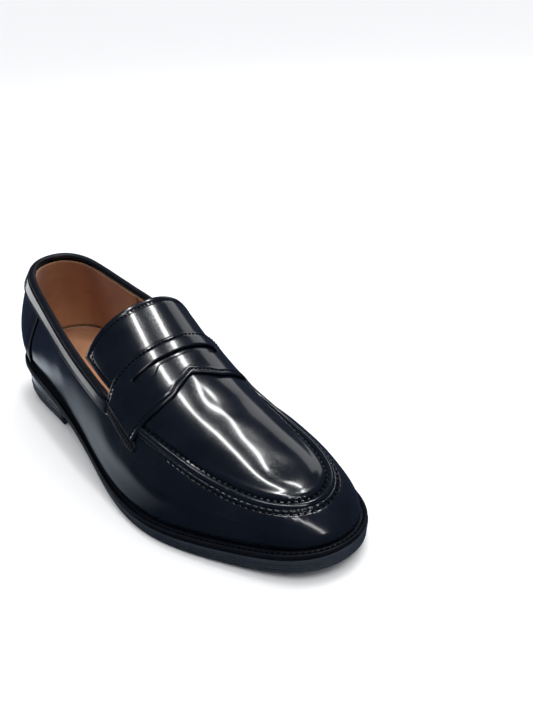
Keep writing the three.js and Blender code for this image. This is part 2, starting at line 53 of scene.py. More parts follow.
last = {
    "soleLength": 300, "soleHalf": [[0, 37], [0.13, 37], [0.42, 36.7], [0.72, 54.1], [0.9, 39.6], [1, 33.7]],
    "soleSwing": [[0, 0], [0.13, 0], [0.42, -8.6], [0.72, 0], [0.9, 4.34], [1, 6.2]],
    "heelSquare": 24, "toeSquare": 18.5,
    "underside": [[0, 23.3], [0.25, 13.7], [0.45, 2.9], [0.66, 0], [0.82, 1.18], [1, 5.9]],
    "edge": [[0, 7.3], [0.3, 6.6], [0.7, 10], [1, 11.4]],
    "weltShow": 3.7, "weltThick": 2.8, "gap": 0.4,
    "collarBack": -131.4, "collarLength": 262, "collarSquare": 17,
    "collarHalf": [[0, 27.8], [0.11, 27.8], [0.27, 33.5], [0.45, 38.8], [0.54, 38], [0.66, 35.6],
                   [0.83, 32.2], [1, 26]],
    "collarSwing": [[0, 0], [0.3, 0], [0.45, -0.9], [0.54, -3.2], [0.66, -3.9], [0.83, 1], [1, 4.4]],
    "collarZ": [[0, 94.5], [0.27, 74], [0.54, 58], [0.66, 50.5], [0.83, 38], [1, 31.5]],
    "footBulge": [[0, 5], [0.13, 4], [0.42, 8], [0.6, 6], [0.72, 3.5], [0.9, 2], [1, 2]],
    "footRise": [[0, 0.36], [0.5, 0.36], [0.72, 0.38], [1, 0.42]],
    "rimBulge": [[0, 9], [0.13, 5], [0.42, 3], [0.6, 4.5], [0.72, 8.5], [0.9, 8], [1, 7]],
    "rimDrop": [[0, 0.36], [0.42, 0.3], [0.6, 0.28], [0.72, 0.18], [1, 0.14]],
    "crownZ": [[-14, 96], [12, 81], [60.2, 58], [84.6, 48], [99.6, 42.5]],
    "crownSwing": [[-14, 6], [12, 2], [44, -1.5], [84.6, 1.2], [99.6, 2.5]],
    "crownEnd": 99.6, "crownBlend": 26,
    "shoulderReach": [[0, 0.15], [0.5, 0.15], [0.66, 0.2], [0.75, 0.3], [1, 0.35]],
    "shoulderRise": [[0, 0.72], [0.5, 0.72], [0.6, 0.72], [0.7, 0.76], [1, 0.76]],
    "ridgeReach": [[0, 0.5], [0.5, 0.5], [0.62, 0.47], [0.7, 0.45], [1, 0.45]],
}


def through(knots):
    # natural cubic through the knots, worked out from the bends that make its slope run on
    x, y = np.array(knots, float).T
    h, n = np.diff(x), len(x)
    rows, turn = np.eye(n), np.zeros(n)
    for i in range(1, n - 1):
        rows[i, i - 1:i + 2] = h[i - 1], 2 * (h[i - 1] + h[i]), h[i]
        turn[i] = 6 * ((y[i + 1] - y[i]) / h[i] - (y[i] - y[i - 1]) / h[i - 1])
    bend = np.linalg.solve(rows, turn)

    def value(p):
        p = np.asarray(p, float)
        i = np.clip(np.searchsorted(x, p) - 1, 0, n - 2)
        a = (x[i + 1] - p) / h[i]
        b = 1 - a
        return a * y[i] + b * y[i + 1] + ((a ** 3 - a) * bend[i] + (b ** 3 - b) * bend[i + 1]) * h[i] ** 2 / 6

    return value


curves = {key: through(value) for key, value in last.items() if isinstance(value, list)}


def vec(x, y, z):
    # x, y and z arrays side by side as points
    return np.stack(np.broadcast_arrays(x, y, z), -1).astype(float)


def unit(v):
    # a vector over its own length
    return v / np.maximum(np.linalg.norm(v, axis=-1, keepdims=True), 1e-12)


def mix(a, b, f):
    # a plus the share f of the way to b
    return a + (b - a) * f


def ease(x, low, high):
    # 0 below low, 1 above high, level at both ends
    f = np.clip((x - low) / (high - low), 0, 1)
    return f * f * (3 - 2 * f)


def hump(x, at, wide, high=1.0):
    # high times e to the power of minus ((x - at) / wide) squared
    return high * np.exp(-((x - at) / wide) ** 2)


def runningLength(points):
    # the steps between points in a row, added up from the first
    return np.concatenate([[0], np.cumsum(np.linalg.norm(np.diff(points, axis=0), axis=1))])


def lengthShare(t):
    # t runs round the shoe from the heel by the outer side; the share of the length goes as a cosine
    return (1 - np.cos(2 * np.pi * t)) / 2


def sideOf(t):
    # -1 on the outer half of a turn, 1 on the inner half
    return np.where(np.mod(t, 1) < 0.5, -1.0, 1.0)


def placeOf(s):
    # the t of a share of the length on the outer side, by the inverse cosine
    return np.arccos(1 - 2 * np.asarray(s, float)) / (2 * np.pi)


def roundEnds(s, heel, toe):
    # root of (1 - (1 - s) to the power heel) times (1 - s to the power toe)
    return np.sqrt(np.maximum(0, (1 - (1 - s) ** heel) * (1 - s ** toe)))


def rawOutline(t, inset):
    # half width times round ends, either side of a middle line that swings with the foot
    s = lengthShare(t)
    half = (curves["soleHalf"](s) - inset) * roundEnds(s, last["heelSquare"], last["toeSquare"])
    return (s - 0.5) * (last["soleLength"] - 2 * inset), curves["soleSwing"](s) + sideOf(t) * half


widest = rawOutline(np.arange(200) / 200, 0)[1]
middleY = (widest.max() + widest.min()) / 2


def outline(t, inset, z=0.0):
    # the sole's outline drawn in by inset, with the widest part centred on y = 0
    x, y = rawOutline(t, inset)
    return vec(x, y - middleY, z)


def seatZ(s):
    # the underside's height plus the edge's: where the upper sits
    return curves["underside"](s) + curves["edge"](s)


def collarShare(x):
    # x as a share of the collar line's length
    return (x - last["collarBack"]) / last["collarLength"]


def tAt(x):
    # the t at which the collar line's outer side reaches x
    return placeOf(collarShare(x))


def collar(t):
    # the collar line: half width times round ends about its swinging middle, at its own height
    s = lengthShare(t)
    half = curves["collarHalf"](s) * roundEnds(s, last["collarSquare"], last["collarSquare"])
    x = last["collarBack"] + s * last["collarLength"]
    return vec(x, curves["collarSwing"](s) - middleY + sideOf(t) * half, curves["collarZ"](s))


def outward(t):
    # the collar line's direction turned a right angle, level and away from the shoe
    along = collar(t + 1e-4) - collar(t - 1e-4)
    return -unit(vec(-along[..., 1], along[..., 0], 0))


def arc(a, b, c, d, f):
    # cubic from a to d, leaving towards b and arriving from c
    f = f[..., None]
    g = 1 - f
    return a * g ** 3 + 3 * b * g * g * f + 3 * c * g * f * f + d * f ** 3


def wall(t, v):
    # arc from the feather line out over the bulge and in to the collar line
    s = lengthShare(t)
    foot, rim, out = outline(t, last["weltShow"], seatZ(s)), collar(t), outward(t)
    height = rim[..., 2] - foot[..., 2]
    low = foot + out * curves["footBulge"](s)[..., None]
    low[..., 2] += height * curves["footRise"](s)
    high = rim + out * curves["rimBulge"](s)[..., None]
    high[..., 2] -= height * curves["rimDrop"](s)
    return arc(foot, low, high, rim, v)


def crownX(x):
    # the ridge runs level with the collar line, then eases to its end in the toe
    end, blend = last["crownEnd"], last["crownBlend"]
    w = np.clip((x - (end - blend)) / (2 * blend), 0, 1)
    return np.where(x < end - blend, x, end - blend + 2 * blend * (w - w ** 3 + w ** 4 / 2))


def crown(t):
    # the ridge's point over t: the collar's x eased to the ridge's end, with its own swing and height
    x = crownX(last["collarBack"] + lengthShare(t) * last["collarLength"])
    return vec(x, curves["crownSwing"](x) - middleY, curves["crownZ"](x))


def crownSlope(x):
    # the ridge's rise over a fifth of a millimetre, divided by it
    return (curves["crownZ"](x + 0.1) - curves["crownZ"](x - 0.1)) / 0.2


def top(t, w):
    # arc from the collar line up to the ridge, which it meets along the ridge's own slope
    s, rim, ridge = lengthShare(t), collar(t), crown(t)
    near = rim + (ridge - rim) * curves["shoulderReach"](s)[..., None]
    near[..., 2] = rim[..., 2] + (ridge - rim)[..., 2] * curves["shoulderRise"](s)
    far = ridge + (rim - ridge) * curves["ridgeReach"](s)[..., None]
    far[..., 2] = ridge[..., 2] + crownSlope(ridge[..., 0]) * (far[..., 0] - ridge[..., 0])
    return arc(rim, near, far, ridge, w)


def upper(t, q):
    # q climbs the whole upper: 0 at the feather, 1 at the collar line, 2 at the ridge
    low = wall(t, np.minimum(q, 1))
    high = top(t, np.clip(q - 1, 0, 1))
    return np.where((q <= 1)[..., None], low, high)


def facing(t, q):
    # the cross product of the steps along t and q, which stay on their own side of the collar line
    step = 2e-3
    low = np.where(q > 1, np.maximum(q - step, 1), q - step)
    high = np.where(q > 1, q + step, np.minimum(q + step, 1))
    alongT = upper(t + step, q) - upper(t - step, q)
    alongQ = upper(t, high) - upper(t, low)
    return unit(np.cross(alongT, alongQ))


def normalAt(t, q):
    # facing, eased over the fold at the collar line and made level across the ridge
    t, q = np.broadcast_arrays(np.asarray(t, float), np.asarray(q, float))
    n = facing(t, np.minimum(q, 1.985))
    fold = 0.04
    x = last["collarBack"] + lengthShare(t) * last["collarLength"]
    both = unit(facing(t, q * 0 + 1 - fold) + facing(t, q * 0 + 1 + fold))
    near = (1 - ease(np.abs(q - 1), 0, fold)) * ease(x, -16, -6)
    n = unit(mix(n, both, near[..., None]))
    ridgeX = crown(t)[..., 0]
    level = unit(vec(-crownSlope(ridgeX), 0, 1))
    return unit(mix(n, level, ease(q, 1.95, 2.0)[..., None]))


def skin(t, q, depth=0.0):
    # a point so deep under the upper's surface, square to it
    t, q, depth = np.broadcast_arrays(np.asarray(t, float), np.asarray(q, float), np.asarray(depth, float))
    return upper(t, q) - normalAt(t, q) * depth[..., None]


# meshes from grids

def makeMesh(name, points, faces, joined=True):
    # a smooth closed mesh, turned so that its signed volume is above 0;
    # joined merges its doubles, otherwise each loose part has its faces turned outward
    mesh = bpy.data.meshes.new(name)
    mesh.from_pydata((np.asarray(points).reshape(-1, 3) * toMetres).tolist(), [], faces)
    work = bmesh.new()
    work.from_mesh(mesh)
    if joined:
        bmesh.ops.remove_doubles(work, verts=work.verts, dist=2e-6)
        bmesh.ops.dissolve_degenerate(work, dist=1e-7, edges=work.edges)
    else:
        bmesh.ops.recalc_face_normals(work, faces=work.faces)
    if work.calc_volume(signed=True) < 0:
        bmesh.ops.reverse_faces(work, faces=work.faces)
    work.to_mesh(mesh)
    work.free()
    mesh.polygons.foreach_set("use_smooth", np.ones(len(mesh.polygons), bool))
    mesh.update()
    piece = bpy.data.objects.new(name, mesh)
    bpy.context.scene.collection.objects.link(piece)
    return piece


def gridFaces(rows, cols, wrapRows=False, wrapCols=False):
    # four corners for each cell of a grid of rows and columns, numbered row by row
    i = np.arange(rows if wrapRows else rows - 1)[:, None]
    j = np.arange(cols if wrapCols else cols - 1)[None, :]
    k, m = (i + 1) % rows, (j + 1) % cols
    quads = np.stack([i * cols + j, k * cols + j, k * cols + m, i * cols + m], -1)
    return quads.reshape(-1, 4)


def edged(low, high, size, count, rim, ends=(True, True)):
    # even steps, with closer ones inside the rounded rim at each live end
    inner = np.linspace(0, size, count + 1)
    close = rim * (1 - np.cos(np.linspace(0, np.pi / 2, 5)))
    parts = [inner[(inner > rim * 1.6 * ends[0]) & (inner < size - rim * 1.6 * ends[1])]]
    if ends[0]:
        parts.insert(0, close)
    if ends[1]:
        parts.append((size - close)[::-1])
    steps = np.concatenate(parts)
    if not ends[0]:
        steps[0] = 0
    if not ends[1]:
        steps = np.append(steps, size)
    return low + (high - low) * np.unique(steps) / size


def bothSides(size, count, rim=0.8):
    # the steps from 0 to a live edge at 1, mirrored to -1
    half = edged(0, 1, size, count, rim, (False, True))
    return np.concatenate([-half[::-1], half[1:]])


def roundedHalf(edgeDistance, thick):
    # half the thickness, falling as a quarter round to nothing at a live edge
    near = np.clip(edgeDistance / (thick / 2), 0, 1)
    return thick / 2 * np.sqrt(np.maximum(0, 1 - (1 - near) ** 2))


def twoSheets(outer, inner, quads):
    # the outer sheet's faces as they are, and the inner sheet's turned round
    faces = np.concatenate([quads, quads[:, ::-1] + outer[..., 0].size])
    return np.concatenate([outer.reshape(-1, 3), inner.reshape(-1, 3)]), faces.tolist()


def shellPiece(name, point, a, b, edgeDistance, depth, thick, lift=None):
    # a skin of leather: an outer sheet half a thickness out from the middle one and an inner sheet
    # half a thickness in, which close on each other at the live edges
    around, climb = np.meshgrid(a, b, indexing="ij")
    half = roundedHalf(edgeDistance(around, climb), thick)
    # what is raised dies away at a live edge, so that the two sheets meet there
    raised = 0 if lift is None else lift(around, climb) * half / (thick / 2)
    outer = point(around, climb, depth + thick / 2 - half - raised)
    inner = point(around, climb, depth + thick / 2 + half)
    return makeMesh(name, *twoSheets(outer, inner, gridFaces(len(a), len(b))))


def sweep(name, centre, across, up, profile):
    # a closed profile of (across, up) offsets carried along a path of centres and frames,
    # with a fan of triangles round the middle of each end
    sides = profile.shape[-2]
    rows = centre.shape[0]
    spread = np.broadcast_to(profile, (rows, sides, 2))
    points = centre[:, None] + across[:, None] * spread[..., :1] + up[:, None] * spread[..., 1:]
    ends = points[[0, -1]].mean(1)
    ring = np.arange(sides)
    tip = rows * sides
    near = np.stack([np.full(sides, tip), ring, (ring + 1) % sides], -1)
    far = (near + [1, tip - sides, tip - sides])[:, [0, 2, 1]]
    faces = gridFaces(rows, sides, False, True).tolist() + np.concatenate([near, far]).tolist()
    return makeMesh(name, np.concatenate([points.reshape(-1, 3), ends]), faces, joined=False)


def pathFrames(points, normals):
    # across is the path's direction crossed with the surface's, up is across crossed with the path's
    along = unit(np.gradient(points, axis=0))
    across = unit(np.cross(along, normals))
    return across, unit(np.cross(across, along))


def stitchRow(name, points, normals, look):
    # one small bowed capsule for each stitch, midway between even steps along the path,
    # its bow rise times (1 - u squared) and its ends sunk in the leather
    run = runningLength(points)
    count = max(2, int(round(run[-1] / look["pitch"])))
    at = np.linspace(0, run[-1], count + 1)
    mid = (at[1:] + at[:-1]) / 2
    midway = lambda values: np.stack([np.interp(mid, run, values[:, k]) for k in range(3)], -1)
    place, up = midway(points), unit(midway(normals))
    along = unit(midway(unit(np.gradient(points, axis=0))))
    across = unit(np.cross(along, up))
    turn = math.radians(look.get("slant", 0))
    along, across = (along * math.cos(turn) + across * math.sin(turn),
                     across * math.cos(turn) - along * math.sin(turn))
    rings, sides = 5, 6
    u = np.linspace(-1, 1, rings)
    width = np.sqrt(np.maximum(0.12, 1 - u ** 4)) * look["radius"]
    bow = look["rise"] * (1 - u ** 2) - look["radius"] * 0.9 * u ** 4
    angle = np.arange(sides) * 2 * np.pi / sides
    local = np.stack([
        np.broadcast_to(u[:, None] * look["length"] / 2, (rings, sides)),
        width[:, None] * np.cos(angle),
        bow[:, None] + width[:, None] * np.sin(angle)], -1).reshape(-1, 3)
    cloud = (place[:, None] + along[:, None] * local[:, :1] + across[:, None] * local[:, 1:2]
             + up[:, None] * local[:, 2:])
    one = gridFaces(rings, sides, False, True)
    caps = np.array([[0, 1, 2, 3], [0, 3, 4, 5]])
    one = np.concatenate([one, caps[:, ::-1], caps + (rings - 1) * sides])
    faces = (one[None] + np.arange(len(place))[:, None, None] * len(local)).reshape(-1, 4)
    return makeMesh(name, cloud, faces.tolist(), joined=False)


# materials

def newMaterial(name):
    # a node material with its shader, and the object's own coordinates
    material = bpy.data.materials.new(name)
    material.use_nodes = True
    nodes, links = material.node_tree.nodes, material.node_tree.links
    shader = nodes["Principled BSDF"]
    place = nodes.new("ShaderNodeTexCoord")
    return material, nodes, links, shader, place.outputs["Object"]


def noiseAt(nodes, links, coordinates, scale, detail=2, roughness=0.5):
    # cloudy noise, scale to the metre
    noise = nodes.new("ShaderNodeTexNoise")
    noise.inputs["Scale"].default_value = scale
    noise.inputs["Detail"].default_value = detail
    noise.inputs["Roughness"].default_value = roughness
    links.new(coordinates, noise.inputs["Vector"])
    return noise.outputs["Fac"]


def rangeOf(nodes, links, value, low, high, fromLow=0.3, fromHigh=0.7):
    # value from its own range to low .. high in a straight line
    ramp = nodes.new("ShaderNodeMapRange")
    ramp.inputs["From Min"].default_value = fromLow
    ramp.inputs["From Max"].default_value = fromHigh
    ramp.inputs["To Min"].default_value = low
    ramp.inputs["To Max"].default_value = high
    links.new(value, ramp.inputs["Value"])
    return ramp.outputs["Result"]


def colourMix(nodes, links, value, first, second):
    # first plus the share value of the way to second
    blend = nodes.new("ShaderNodeMix")
    blend.data_type = "RGBA"
    links.new(value, blend.inputs[0])
    blend.inputs[6].default_value = (*first, 1)
    blend.inputs[7].default_value = (*second, 1)
    return blend.outputs[2]


def bumpOn(nodes, links, height, distance, strength=1.0, under=None):
    # a bump so many metres high, on top of the one under it
    bump = nodes.new("ShaderNodeBump")
    bump.inputs["Distance"].default_value = distance
    bump.inputs["Strength"].default_value = strength
    links.new(height, bump.inputs["Height"])
    if under is not None:
        links.new(under, bump.inputs["Normal"])
    return bump.outputs["Normal"]


def leatherMaterial(name, look):
    # two mottled tones, a slow waver under a fine pebble grain, and a gloss that varies with wear
    material, nodes, links, shader, here = newMaterial(name)
    mottle = noiseAt(nodes, links, here, look["mottleScale"], 3)
    links.new(colourMix(nodes, links, rangeOf(nodes, links, mottle, 0, 1), look["tone"], look["toneTwo"]),
              shader.inputs["Base Color"])
    wear = noiseAt(nodes, links, here, look["wearScale"], 4, 0.6)
    links.new(rangeOf(nodes, links, wear, look["gloss"][0], look["gloss"][1]), shader.inputs["Roughness"])
    waver = bumpOn(nodes, links, noiseAt(nodes, links, here, look["waverScale"], 2), look["waver"])
    cells = nodes.new("ShaderNodeTexVoronoi")
    cells.inputs["Scale"].default_value = look["grainScale"]
    links.new(here, cells.inputs["Vector"])
    grain = bumpOn(nodes, links, cells.outputs["Distance"], look["grain"], 1.0, waver)
    links.new(grain, shader.inputs["Normal"])
    shader.inputs["Specular IOR Level"].default_value = look.get("specular", 0.4)
    shader.inputs["Coat Weight"].default_value = look.get("coat", 0)
    shader.inputs["Coat Roughness"].default_value = look.get("coatRoughness", 0.05)
    shader.inputs["Sheen Weight"].default_value = look.get("sheen", 0)
    return material


finishes = {
    "polished": dict(tone=(0.002, 0.0031, 0.0066), toneTwo=(0.004, 0.0058, 0.0105), mottleScale=60,
                     gloss=(0.15, 0.22), wearScale=110, waver=0.0002, waverScale=45, grain=0.000012,
                     grainScale=1600, coat=0.5, coatRoughness=0.08, specular=0.35),
    "binding": dict(tone=(0.002, 0.003, 0.0055), toneTwo=(0.0035, 0.005, 0.008), mottleScale=300,
                    gloss=(0.3, 0.42), wearScale=200, waver=0.0003, waverScale=120, grain=0.00006,
                    grainScale=1500, specular=0.3),
    "welt": dict(tone=(0.002, 0.003, 0.0055), toneTwo=(0.004, 0.0055, 0.009), mottleScale=200,
                 gloss=(0.45, 0.6), wearScale=160, waver=0.0002, waverScale=90, grain=0.00004,
                 grainScale=1500, specular=0.2),
    "tan": dict(tone=(0.44, 0.21, 0.105), toneTwo=(0.54, 0.27, 0.14), mottleScale=90,
                gloss=(0.45, 0.6), wearScale=150, waver=0.0003, waverScale=60, grain=0.00005,
                grainScale=1300),
    "heelTan": dict(tone=(0.38, 0.18, 0.09), toneTwo=(0.47, 0.23, 0.12), mottleScale=70,
                    gloss=(0.65, 0.8), wearScale=150, waver=0.0002, waverScale=60, grain=0.00008,
                    grainScale=2200, sheen=0.3),
    # the heel's tone is a grey well above the near-black it really has: painted reflection of the bright
    # floor, under its gloss coat
    "heel": dict(tone=(0.045, 0.048, 0.053), toneTwo=(0.058, 0.061, 0.066), mottleScale=40,
                 gloss=(0.2, 0.3), wearScale=80, waver=0.0002, waverScale=90, grain=0.00001,
                 grainScale=900, coat=0.8, coatRoughness=0.12),
    # the rubber's tone is lifted and tinted blue above its own near-black: partly its colour, partly a painted
    # bluish sheen
    "rubber": dict(tone=(0.018, 0.025, 0.039), toneTwo=(0.027, 0.035, 0.05), mottleScale=120,
                   gloss=(0.42, 0.56), wearScale=160, waver=0.0002, waverScale=70, grain=0.00004,
                   grainScale=2600),
    "thread": dict(tone=(0.0015, 0.002, 0.003), toneTwo=(0.003, 0.0035, 0.005), mottleScale=400,
                   gloss=(0.7, 0.85), wearScale=300, waver=0.0001, waverScale=800, grain=0.0001,
                   grainScale=3000, specular=0.06),
    "board": dict(tone=(0.32, 0.2, 0.1), toneTwo=(0.42, 0.28, 0.16), mottleScale=240,
                  gloss=(0.8, 0.95), wearScale=200, waver=0.0002, waverScale=200, grain=0.0001,
                  grainScale=1400),
    "cork": dict(tone=(0.25, 0.12, 0.045), toneTwo=(0.5, 0.3, 0.13), mottleScale=420,
                 gloss=(0.85, 0.95), wearScale=200, waver=0.0006, waverScale=300, grain=0.0004,
                 grainScale=500),
    "foam": dict(tone=(0.62, 0.55, 0.38), toneTwo=(0.75, 0.68, 0.5), mottleScale=300,
                 gloss=(0.9, 1.0), wearScale=200, waver=0.0002, waverScale=300, grain=0.0003,
                 grainScale=900),
    "steel": dict(tone=(0.42, 0.43, 0.45), toneTwo=(0.5, 0.51, 0.53), mottleScale=80,
                  gloss=(0.25, 0.4), wearScale=500, waver=0.00005, waverScale=200, grain=0.00001,
                  grainScale=900),
}
materials = {key: leatherMaterial(key, look) for key, look in finishes.items()}
for node in materials["steel"].node_tree.nodes:
    if node.type == "BSDF_PRINCIPLED":
        node.inputs["Metallic"].default_value = 1.0


def settle(piece, finish, body, *nodes):
    # gives a piece its finish and body, and hides the nodes it stands for; a piece on "bend" has its transform
    # baked into its mesh and gets no body
    piece.data.materials.clear()
    piece.data.materials.append(materials[finish])
    if body == "bend":
        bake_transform(piece)
    else:
        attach(piece, body)
    if nodes:
        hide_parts(*nodes)
    return piece


# sole unit

sole = {"grooveDepth": 0.4, "grooves": (0.36, 0.56, 0.76), "grooveWide": 0.028, "edgeTaper": 0.8, "rows": 360,
        "fanBack": -112.0, "fanFront": 108.0}


def spinePoint(t):
    # where a plate's cross lines meet, short of both ends so that they fan out there
    x = rawOutline(t, 0)[0]
    at = np.clip(x, sole["fanBack"], sole["fanFront"])
    return at, curves["soleSwing"](at / last["soleLength"] + 0.5) - middleY


def platePoints(t, insets, shares, levels):
    # shares run from 0 at the edge to 1 at the spine; a level is a height for a share of the length
    columns = []
    for inset, shareIn, level in zip(insets, shares, levels):
        edgeXY = outline(t, inset)
        sx, sy = spinePoint(t)
        x, y = mix(edgeXY[:, 0], sx, shareIn), mix(edgeXY[:, 1], sy, shareIn)
        columns.append(vec(x, y, level(x / last["soleLength"] + 0.5)))
    return np.stack(columns, 1)


def roundPlate(name, profile, rows):
    # profile lists (inset, share towards the spine, level) from the top's middle round to the foot's
    t = np.arange(rows) / rows
    insets, shares, levels = zip(*profile)
    points = platePoints(t, insets, shares, levels)
    return makeMesh(name, points, gridFaces(rows, len(profile), True).tolist())


def makeOutsole():
    # the edge tapers in a straight line from top to foot, with a narrow hump cut out at each groove
    foot = curves["underside"]
    topZ = lambda s: seatZ(s) - last["weltThick"] - last["gap"]
    at = lambda k: (lambda s: mix(topZ(s), foot(s), k))
    profile = [(2.0, k, topZ) for k in (1, 0.75, 0.5, 0.25, 0.1)]
    profile += [(1.2, 0, topZ), (0.5, 0, topZ), (0.15, 0, at(0.03)), (0, 0, at(0.08))]
    for level in np.linspace(0.1, 0.9, 49):
        near = min(abs(level - g) for g in sole["grooves"])
        cut = hump(near, 0, sole["grooveWide"], sole["grooveDepth"])
        profile.append((sole["edgeTaper"] * level + cut, 0, at(level)))
    profile += [(0.95, 0, at(0.95)), (1.5, 0, at(0.99)), (2.3, 0, foot)]
    profile += [(3.0, k, foot) for k in (0.05, 0.2, 0.4, 0.6, 0.8, 1)]
    return settle(roundPlate("sole_rubber", profile, sole["rows"]), "rubber", "bend", "outsole")


weltLook = {"from": 0.25, "rows": 720, "stitchInset": 2.05, "stitchDown": 0.45,
            "stitch": dict(pitch=3.0, length=2.5, radius=0.42, rise=0.22)}


def makeWelt():
    # a flat ring whose top dips in a channel for its stitches
    rows = weltLook["rows"]
    t = np.arange(rows) / rows
    topAt = lambda d: (lambda s: seatZ(s) + d)
    foot = lambda s: seatZ(s) - last["weltThick"]
    ring = [(0.9, 0, foot), (0.35, 0, lambda s: foot(s) + 0.35), (0.25, 0, lambda s: foot(s) + 0.9)]
    ring += [(inset, 0, topAt(rise)) for inset, rise in (
        (0.3, -1.2), (0.32, -0.7), (0.42, -0.3), (0.75, -0.05), (1.1, -0.02), (1.35, -0.25), (1.8, -0.55),
        (2.3, -0.55), (2.7, -0.25), (3.0, -0.05), (3.8, 0), (7.5, 0), (11.5, 0))]
    ring += [(11.5, 0, foot), (6, 0, foot)]
    insets, shares, levels = zip(*ring)
    points = platePoints(t, insets, shares, levels)
    piece = makeMesh("welt_strip", points, gridFaces(rows, len(ring), True, True).tolist())
    settle(piece, "welt", "bend", "welt")
    t = np.linspace(placeOf(weltLook["from"]), 1 - placeOf(weltLook["from"]), 900)
    path = outline(t, weltLook["stitchInset"], seatZ(lengthShare(t)) - weltLook["stitchDown"])
    row = stitchRow("welt_stitches", path, vec(0 * t, 0 * t, 1), weltLook["stitch"])
    settle(row, "thread", "bend", "welt_thread")


heelLook = {"breast": 0.25, "hollow": 2.2, "middle": -112.0, "topPiece": 5.5, "lift": 4.0, "gap": 0.04,
            "inset": 1.0, "taper": 1.4, "tall": 23.3, "rows": 150}


def heelLoop(count, inset):
    # round the back from breast corner to breast corner, then across the breast in a shallow sine bow
    reach = placeOf(heelLook["breast"])
    back = outline(np.linspace(-reach, reach, count), inset)
    bow = np.linspace(0, 1, 31)[1:-1]
    first, final = back[-1], back[0]
    breast = first + (final - first) * bow[:, None]
    breast[:, 0] -= heelLook["hollow"] * np.sin(np.pi * bow)
    return np.concatenate([back, breast])


def heelBlock(name, profile):
    # profile lists (inset, share towards the middle, level) from the top's middle to the foot's
    centre = np.array([heelLook["middle"], -middleY])
    columns = []
    for inset, shareIn, level in profile:
        loop = heelLoop(heelLook["rows"], inset)[:, :2]
        xy = mix(loop, centre, shareIn)
        columns.append(vec(xy[:, 0], xy[:, 1], level(xy[:, 0] / last["soleLength"] + 0.5)))
    points = np.stack(columns, 1)
    return makeMesh(name, points, gridFaces(points.shape[0], len(profile), True).tolist())


def makeHeel():
    # three layers, drawn in towards the foot in a straight line: the inset grows by taper over the height
    topPiece, lift, gap = heelLook["topPiece"], heelLook["lift"], heelLook["gap"]
    inset = lambda z: heelLook["inset"] + heelLook["taper"] * (1 - z / heelLook["tall"])
    under = lambda s: curves["underside"](s) - gap
    flat = lambda z: (lambda s: 0 * s + z)
    highest = 20

    def layer(name, lowZ, highLevel, finish, node, rim=0.12):
        # flat above and below, with a small chamfer rim high at both edges
        between = lambda k: (lambda s: mix(highLevel(s) - rim, lowZ + rim, k))
        rows = [(inset(highest) + 1, k, highLevel) for k in (1, 0.6, 0.3)]
        rows += [(inset(highest) + rim, 0, highLevel), (inset(highest), 0, lambda s: highLevel(s) - rim)]
        rows += [(inset(mix(highest, lowZ, k)), 0, between(k)) for k in np.linspace(0.12, 0.9, 12)]
        rows += [(inset(lowZ), 0, flat(lowZ + rim)), (inset(lowZ) + rim, 0, flat(lowZ))]
        rows += [(inset(lowZ) + 1, k, flat(lowZ)) for k in (0.3, 0.6, 1)]
        settle(heelBlock(name, rows), finish, "rearpart", node)

    # the block and the lift take the heel finish, whose grey tone is painted reflection
    layer("heel_block", topPiece + lift + 2 * gap, under, "heel", "heel_base")
    layer("heel_layer", topPiece + gap, flat(topPiece + lift + gap), "heel", "heel_lift")
    layer("heel_tip", 0.0, flat(topPiece), "rubber", "top_piece", 0.3)


insideLook = {"inset": 10.2, "rim": 2.2, "cushion": 1.2, "sockRear": -0.0522, "padFront": -0.0526,
              "padFill": 0.8, "fillerInset": 12.3, "fillerRear": 0.018,
              "stitch": dict(pitch=2.6, length=1.9, radius=0.25, rise=0.15)}


def makeInside():
    # plates on the seat: inner sole, sock and heel cushion, and the cork below. The sock's top rises
    # by cushion times the share towards the spine, eased in behind the waist.
    inset = insideLook["inset"]
    seat = lambda d: (lambda s: seatZ(s) + d)
    low, high = seat(0.4), seat(2.6)
    board = [(inset, k, high) for k in (1, 0.6, 0.3, 0.1)]
    board += [(inset, 0, lambda s: high(s) - 0.2), (inset, 0, lambda s: low(s) + 0.2)]
    board += [(inset, k, low) for k in (0.1, 0.3, 0.6, 1)]
    settle(roundPlate("inner_sole", board, 160), "board", "bend", "insole_board")
    swollen = lambda k: (lambda s: seatZ(s) + 4.2 + insideLook["cushion"] * k * ease(-s, -0.5, -0.25))
    sock = [(inset - 0.2, k, swollen(k)) for k in (1, 0.75, 0.5, 0.3, 0.15, 0.06)]
    rim = inset - insideLook["rim"]
    sock += [(inset - 0.8, 0, seat(4.3)), (rim, 0, seat(4.6)), (rim - 0.1, 0, seat(4.0)), (rim, 0, seat(3.4))]
    sock += [(inset - 0.2, k, seat(3.0)) for k in (0.05, 0.3, 0.6, 1)]
    sockPiece = roundPlate("sock", sock, 240)
    keepFront(sockPiece, insideLook["sockRear"], 1)
    settle(sockPiece, "tan", "bend", "sock_lining")
    padPiece = roundPlate("heel_cushion", sock, 240)
    keepFront(padPiece, insideLook["padFront"], -1)
    settle(padPiece, "heelTan", "rearpart", "heel_pad")
    t = np.linspace(0, 1, 700)
    row = outline(t, inset + 2.6, seatZ(lengthShare(t)) + 4.25)
    stitches = stitchRow("sock_stitches", row, vec(0 * t, 0 * t, 1), insideLook["stitch"])
    settle(stitches, "heelTan", "bend")
    filler = [(insideLook["fillerInset"], k, seat(-0.4)) for k in (1, 0.5, 0)]
    filler += [(insideLook["fillerInset"], k, seat(-2.8)) for k in (0, 0.5, 1)]
    fillerPiece = roundPlate("cork_layer", filler, 120)
    keepFront(fillerPiece, insideLook["fillerRear"], 1)
    settle(fillerPiece, "cork", "bend", "cork_filler")


